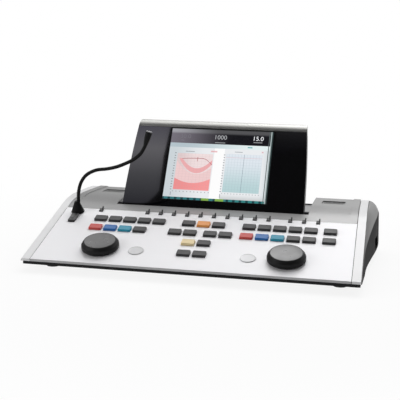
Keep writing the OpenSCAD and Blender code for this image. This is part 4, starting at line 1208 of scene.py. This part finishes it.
class AUDIOMETER_OT_screws(bpy.types.Operator):
    """Turn one recessed screw and set copies of it behind, below and on the display's back"""
    bl_idname = "audiometer.screws"
    bl_label = "Screws"

    def execute(self, context):
        outline = [(0.001, -1.0), (0.9, -1.0), (1.1, -0.75), (1.1, 0.28), (1.3, 0.45)]
        outline += [(1.9, 0.36), (2.4, 0.12), (2.6, -0.15), (2.6, -0.4), (1.2, -1.2), (1.2, -2.0),
                    (0.001, -2.0)]
        pattern = spun("screw", outline, 36)
        smooth(pattern, 40)
        for name, body, place in self.places():
            screw = copy_of(pattern, name, place)
            dress(screw, body, "pin_steel", PAINT["dark_steel"])
        discard(pattern)
        return {"FINISHED"}

    @staticmethod
    def places():
        """Name, body and place of every screw."""
        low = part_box("base_tray")[0].z
        down = Matrix.Rotation(math.pi, 4, "X")
        rear = AUDIOMETER_OT_sockets.TO_REAR
        found = []
        for x in (-158, 157):
            spot = Vector((x * MM, 180.05 * MM, AUDIOMETER_OT_sockets.HEIGHT * MM))
            found.append((f"socket_plate_screw_{len(found) + 1}", "console", Matrix.Translation(spot) @ rear))
        for i, (x, y) in enumerate(((-190, -120), (190, -120), (-190, 120), (190, 120), (0, -120), (0, 120))):
            found.append((f"tray_screw_{i + 1}", "console", Matrix.Translation((x * MM, y * MM, low)) @ down))
        back = local_box("display_back_shell", DISPLAY)[0].z
        for i, (x, y) in enumerate(((-125, 24), (125, 24), (-125, 128), (125, 128))):
            place = DISPLAY @ Matrix.Translation((x * MM, y * MM, back + 0.3 * MM)) @ down
            found.append((f"display_screw_{i + 1}", "display", place))
        return found


class AUDIOMETER_OT_inner_parts(bpy.types.Operator):
    """Finish the boards and encoders inside the housing"""
    bl_idname = "audiometer.inner_parts"
    bl_label = "Inner Parts"

    def execute(self, context):
        keep("main_board", PAINT["board_green"])
        keep("key_circuit_board", PAINT["board_green"])
        keep("dial_encoders", PAINT["steel"])
        return {"FINISHED"}


# Stage

def add_light(name, place, aim, width, height, power):
    """A soft area light that looks at a point."""
    bpy.ops.object.select_all(action="DESELECT")
    bpy.ops.object.light_add(type="AREA", location=place)
    light = bpy.context.object
    light.name = name
    light.rotation_euler = (Vector(aim) - Vector(place)).to_track_quat("-Z", "Y").to_euler()
    light.data.shape = "RECTANGLE"
    light.data.size = width
    light.data.size_y = height
    light.data.energy = power


class AUDIOMETER_OT_stage(bpy.types.Operator):
    """Set the floor, the soft studio light and the camera"""
    bl_idname = "audiometer.stage"
    bl_label = "Stage"

    CAMERA_SPOT = Vector((0.2683, -1.4034, 0.2953))
    CAMERA_AIM = Vector((-0.0183, 0.0015, 0.09375))
    CAMERA_ROLL = math.radians(1.54)
    LENS = 81

    # Name, place, point to look at, width, height and power
    LIGHTS = (("sky_panel", (0, 0.95, 1.8), (0, 0, 0.05), 2.6, 1.5, 22),
              ("fill_panel", (-1.2, -0.8, 0.7), (-0.15, -0.08, 0.05), 0.8, 0.8, 6),
              ("window_panel", (0.32, 1.2, 1.45), (0.05, 0, 0.05), 1.0, 0.8, 6))

    # Outlines of the gleams on the display's face, in millimetres
    LEFT_GLEAM = ((-175, 175), (-86, 158), (-91, 95), (-90, 31), (-97, 20), (-118, -4), (-175, -4))
    RIGHT_GLEAM = ((92, 104), (117, 114), (165, 123), (165, 175), (92, 175))
    CARD_DISTANCE = 0.6

    def execute(self, context):
        self.camera()
        self.floor()
        self.world(context.scene)
        for light in self.LIGHTS:
            add_light(*light)
        self.card("left_card", self.LEFT_GLEAM, 1.35)
        self.card("right_card", self.RIGHT_GLEAM, 0.14)
        return {"FINISHED"}

    def card(self, name, outline, strength):
        """A card that only shows in the display's gloss, where the outline on its face asks for it."""
        out = outwards(DISPLAY_TILT)
        face = DISPLAY.translation
        height = (self.CAMERA_SPOT - face).dot(out)
        mirrored = self.CAMERA_SPOT - 2 * height * out
        card = primitive("circle", name, vertices=len(outline), radius=1, fill_type="NGON")
        for corner, (x, y) in zip(card.data.vertices, outline):
            spot = DISPLAY @ Vector((x * MM, y * MM, 0))
            corner.co = mirrored + (spot - mirrored) * (1 + self.CARD_DISTANCE / height)
        finish = Finish(f"{name}_light", (0, 0, 0), Specular_IOR_Level=0.0, Emission_Strength=strength)
        rise = finish.node("ShaderNodeVectorMath", {"operation": "DOT_PRODUCT"},
                           {0: finish.spot(), 1: uphill(DISPLAY_TILT)}, output=1)
        heights = [uphill(DISPLAY_TILT).dot(v.co) for v in card.data.vertices]
        share = finish.node("ShaderNodeMapRange", inputs={"Value": rise, "From Min": min(heights),
                                                          "From Max": max(heights)})
        ramp = {"stops": ((0.05, (0.20, 0.20, 0.24)), (0.35, (0.5, 0.5, 0.55)), (0.62, (1.0, 0.98, 1.06)),
                          (0.86, (0.62, 0.60, 0.74)))}
        finish.feed("Emission Color", finish.node("ShaderNodeValToRGB", ramp, {"Fac": share}))
        card.data.materials.append(finish.material)
        for ray in ("camera", "diffuse", "transmission", "volume_scatter", "shadow"):
            setattr(card, f"visible_{ray}", False)

    def camera(self):
        """The photo's camera, with its slight roll."""
        bpy.ops.object.select_all(action="DESELECT")
        bpy.ops.object.camera_add(location=self.CAMERA_SPOT)
        camera = bpy.context.object
        ahead = (self.CAMERA_AIM - self.CAMERA_SPOT).normalized()
        right = ahead.cross(UP).normalized()
        up = right.cross(ahead)
        right, up = (math.cos(self.CAMERA_ROLL) * right + math.sin(self.CAMERA_ROLL) * up,
                     math.cos(self.CAMERA_ROLL) * up - math.sin(self.CAMERA_ROLL) * right)
        turn = Matrix((right, up, -ahead)).transposed()
        camera.rotation_euler = turn.to_euler()
        camera.data.lens = self.LENS
        camera.data.sensor_width = 36
        camera.data.clip_start = 0.01
        camera.data.dof.use_dof = False
        bpy.context.scene.camera = camera

    def floor(self):
        """A plain pale floor that keeps the shadow and fades to white."""
        floor = primitive("circle", "floor", vertices=96, radius=9, fill_type="NGON")
        finish = Finish("floor_white", (0.93, 0.93, 0.93), Roughness=0.9)
        tree = finish.tree
        seen = self.seen(finish)
        glow = tree.nodes.new("ShaderNodeEmission")
        glow.inputs["Color"].default_value = (1, 1, 1, 1)
        blend = tree.nodes.new("ShaderNodeMixShader")
        far = finish.ease(finish.length(finish.spot()), 0.35, 0.95)
        tree.links.new((seen * (0.88 + 0.12 * far)).socket, blend.inputs[0])
        tree.links.new(finish.shader.outputs[0], blend.inputs[1])
        tree.links.new(glow.outputs[0], blend.inputs[2])
        tree.links.new(blend.outputs[0], tree.nodes["Material Output"].inputs[0])
        floor.data.materials.append(finish.material)

    @staticmethod
    def seen(finish):
        """1 for rays that show a background: the camera's, and those by way of metal and glass."""
        camera, glossy, through = [finish.node("ShaderNodeLightPath", output=f"Is {ray} Ray")
                                   for ray in ("Camera", "Glossy", "Transmission")]
        return finish.node("ShaderNodeMath", {"operation": "MINIMUM"}, {0: camera + glossy + through, 1: 1.0})

    def world(self, scene):
        """White for the camera; for the object, bright behind and overhead and dim in front."""
        scene.world = bpy.data.worlds.new("studio")
        scene.world.use_nodes = True
        tree = scene.world.node_tree
        sky = Nodes(tree)
        direction = sky.node("ShaderNodeTexCoord", output="Generated")
        x, y, z = [sky.axis(direction, letter) for letter in "XYZ"]
        behind = sky.ease(y, -0.05, 0.12) * (0.42 + 0.68 * sky.ease(x, -0.38, -0.04))
        low = 1 - sky.ease(z, 0.2, 0.6)
        light = 0.03 + 0.72 * behind + 0.22 * low * (1 - behind)
        camera = sky.node("ShaderNodeLightPath", output="Is Camera Ray")
        strength = camera + (1 - camera) * light
        ground = tree.nodes["Background"]
        ground.inputs["Color"].default_value = (1, 1, 1, 1)
        tree.links.new(strength.socket, ground.inputs["Strength"])


class AUDIOMETER_PT_sidebar(bpy.types.Panel):
    """Lists the console's pieces, sizes and colours"""
    bl_label = "Audiometer Console"
    bl_idname = "AUDIOMETER_PT_sidebar"
    bl_space_type = "VIEW_3D"
    bl_region_type = "UI"
    bl_category = "Audiometer"

    def draw(self, context):
        for group in (context.scene.audiometer_sizes, context.scene.audiometer_colours):
            box = self.layout.box()
            for name in group.__annotations__:
                box.prop(group, name)
        for operator in OPERATORS:
            self.layout.operator(operator.bl_idname)


OPERATORS = (
    AUDIOMETER_OT_stage, AUDIOMETER_OT_covers, AUDIOMETER_OT_key_caps, AUDIOMETER_OT_soft_keys,
    AUDIOMETER_OT_dials, AUDIOMETER_OT_touch_pads, AUDIOMETER_OT_display, AUDIOMETER_OT_screen,
    AUDIOMETER_OT_microphone, AUDIOMETER_OT_grilles, AUDIOMETER_OT_sockets, AUDIOMETER_OT_screws,
    AUDIOMETER_OT_inner_parts,
)
CLASSES = (AudiometerSizes, AudiometerColours, AUDIOMETER_PT_sidebar, *OPERATORS)


def register():
    for each in CLASSES:
        bpy.utils.register_class(each)
    bpy.types.Scene.audiometer_sizes = bpy.props.PointerProperty(type=AudiometerSizes)
    bpy.types.Scene.audiometer_colours = bpy.props.PointerProperty(type=AudiometerColours)


def unregister():
    del bpy.types.Scene.audiometer_colours
    del bpy.types.Scene.audiometer_sizes
    for each in reversed(CLASSES):
        bpy.utils.unregister_class(each)


def main():
    """Builds everything."""
    register()
    bpy.context.scene.view_settings.view_transform = "Standard"
    for operator in OPERATORS:
        getattr(bpy.ops.audiometer, operator.bl_idname.split(".")[1])()


if __name__ == "__main__":
    main()
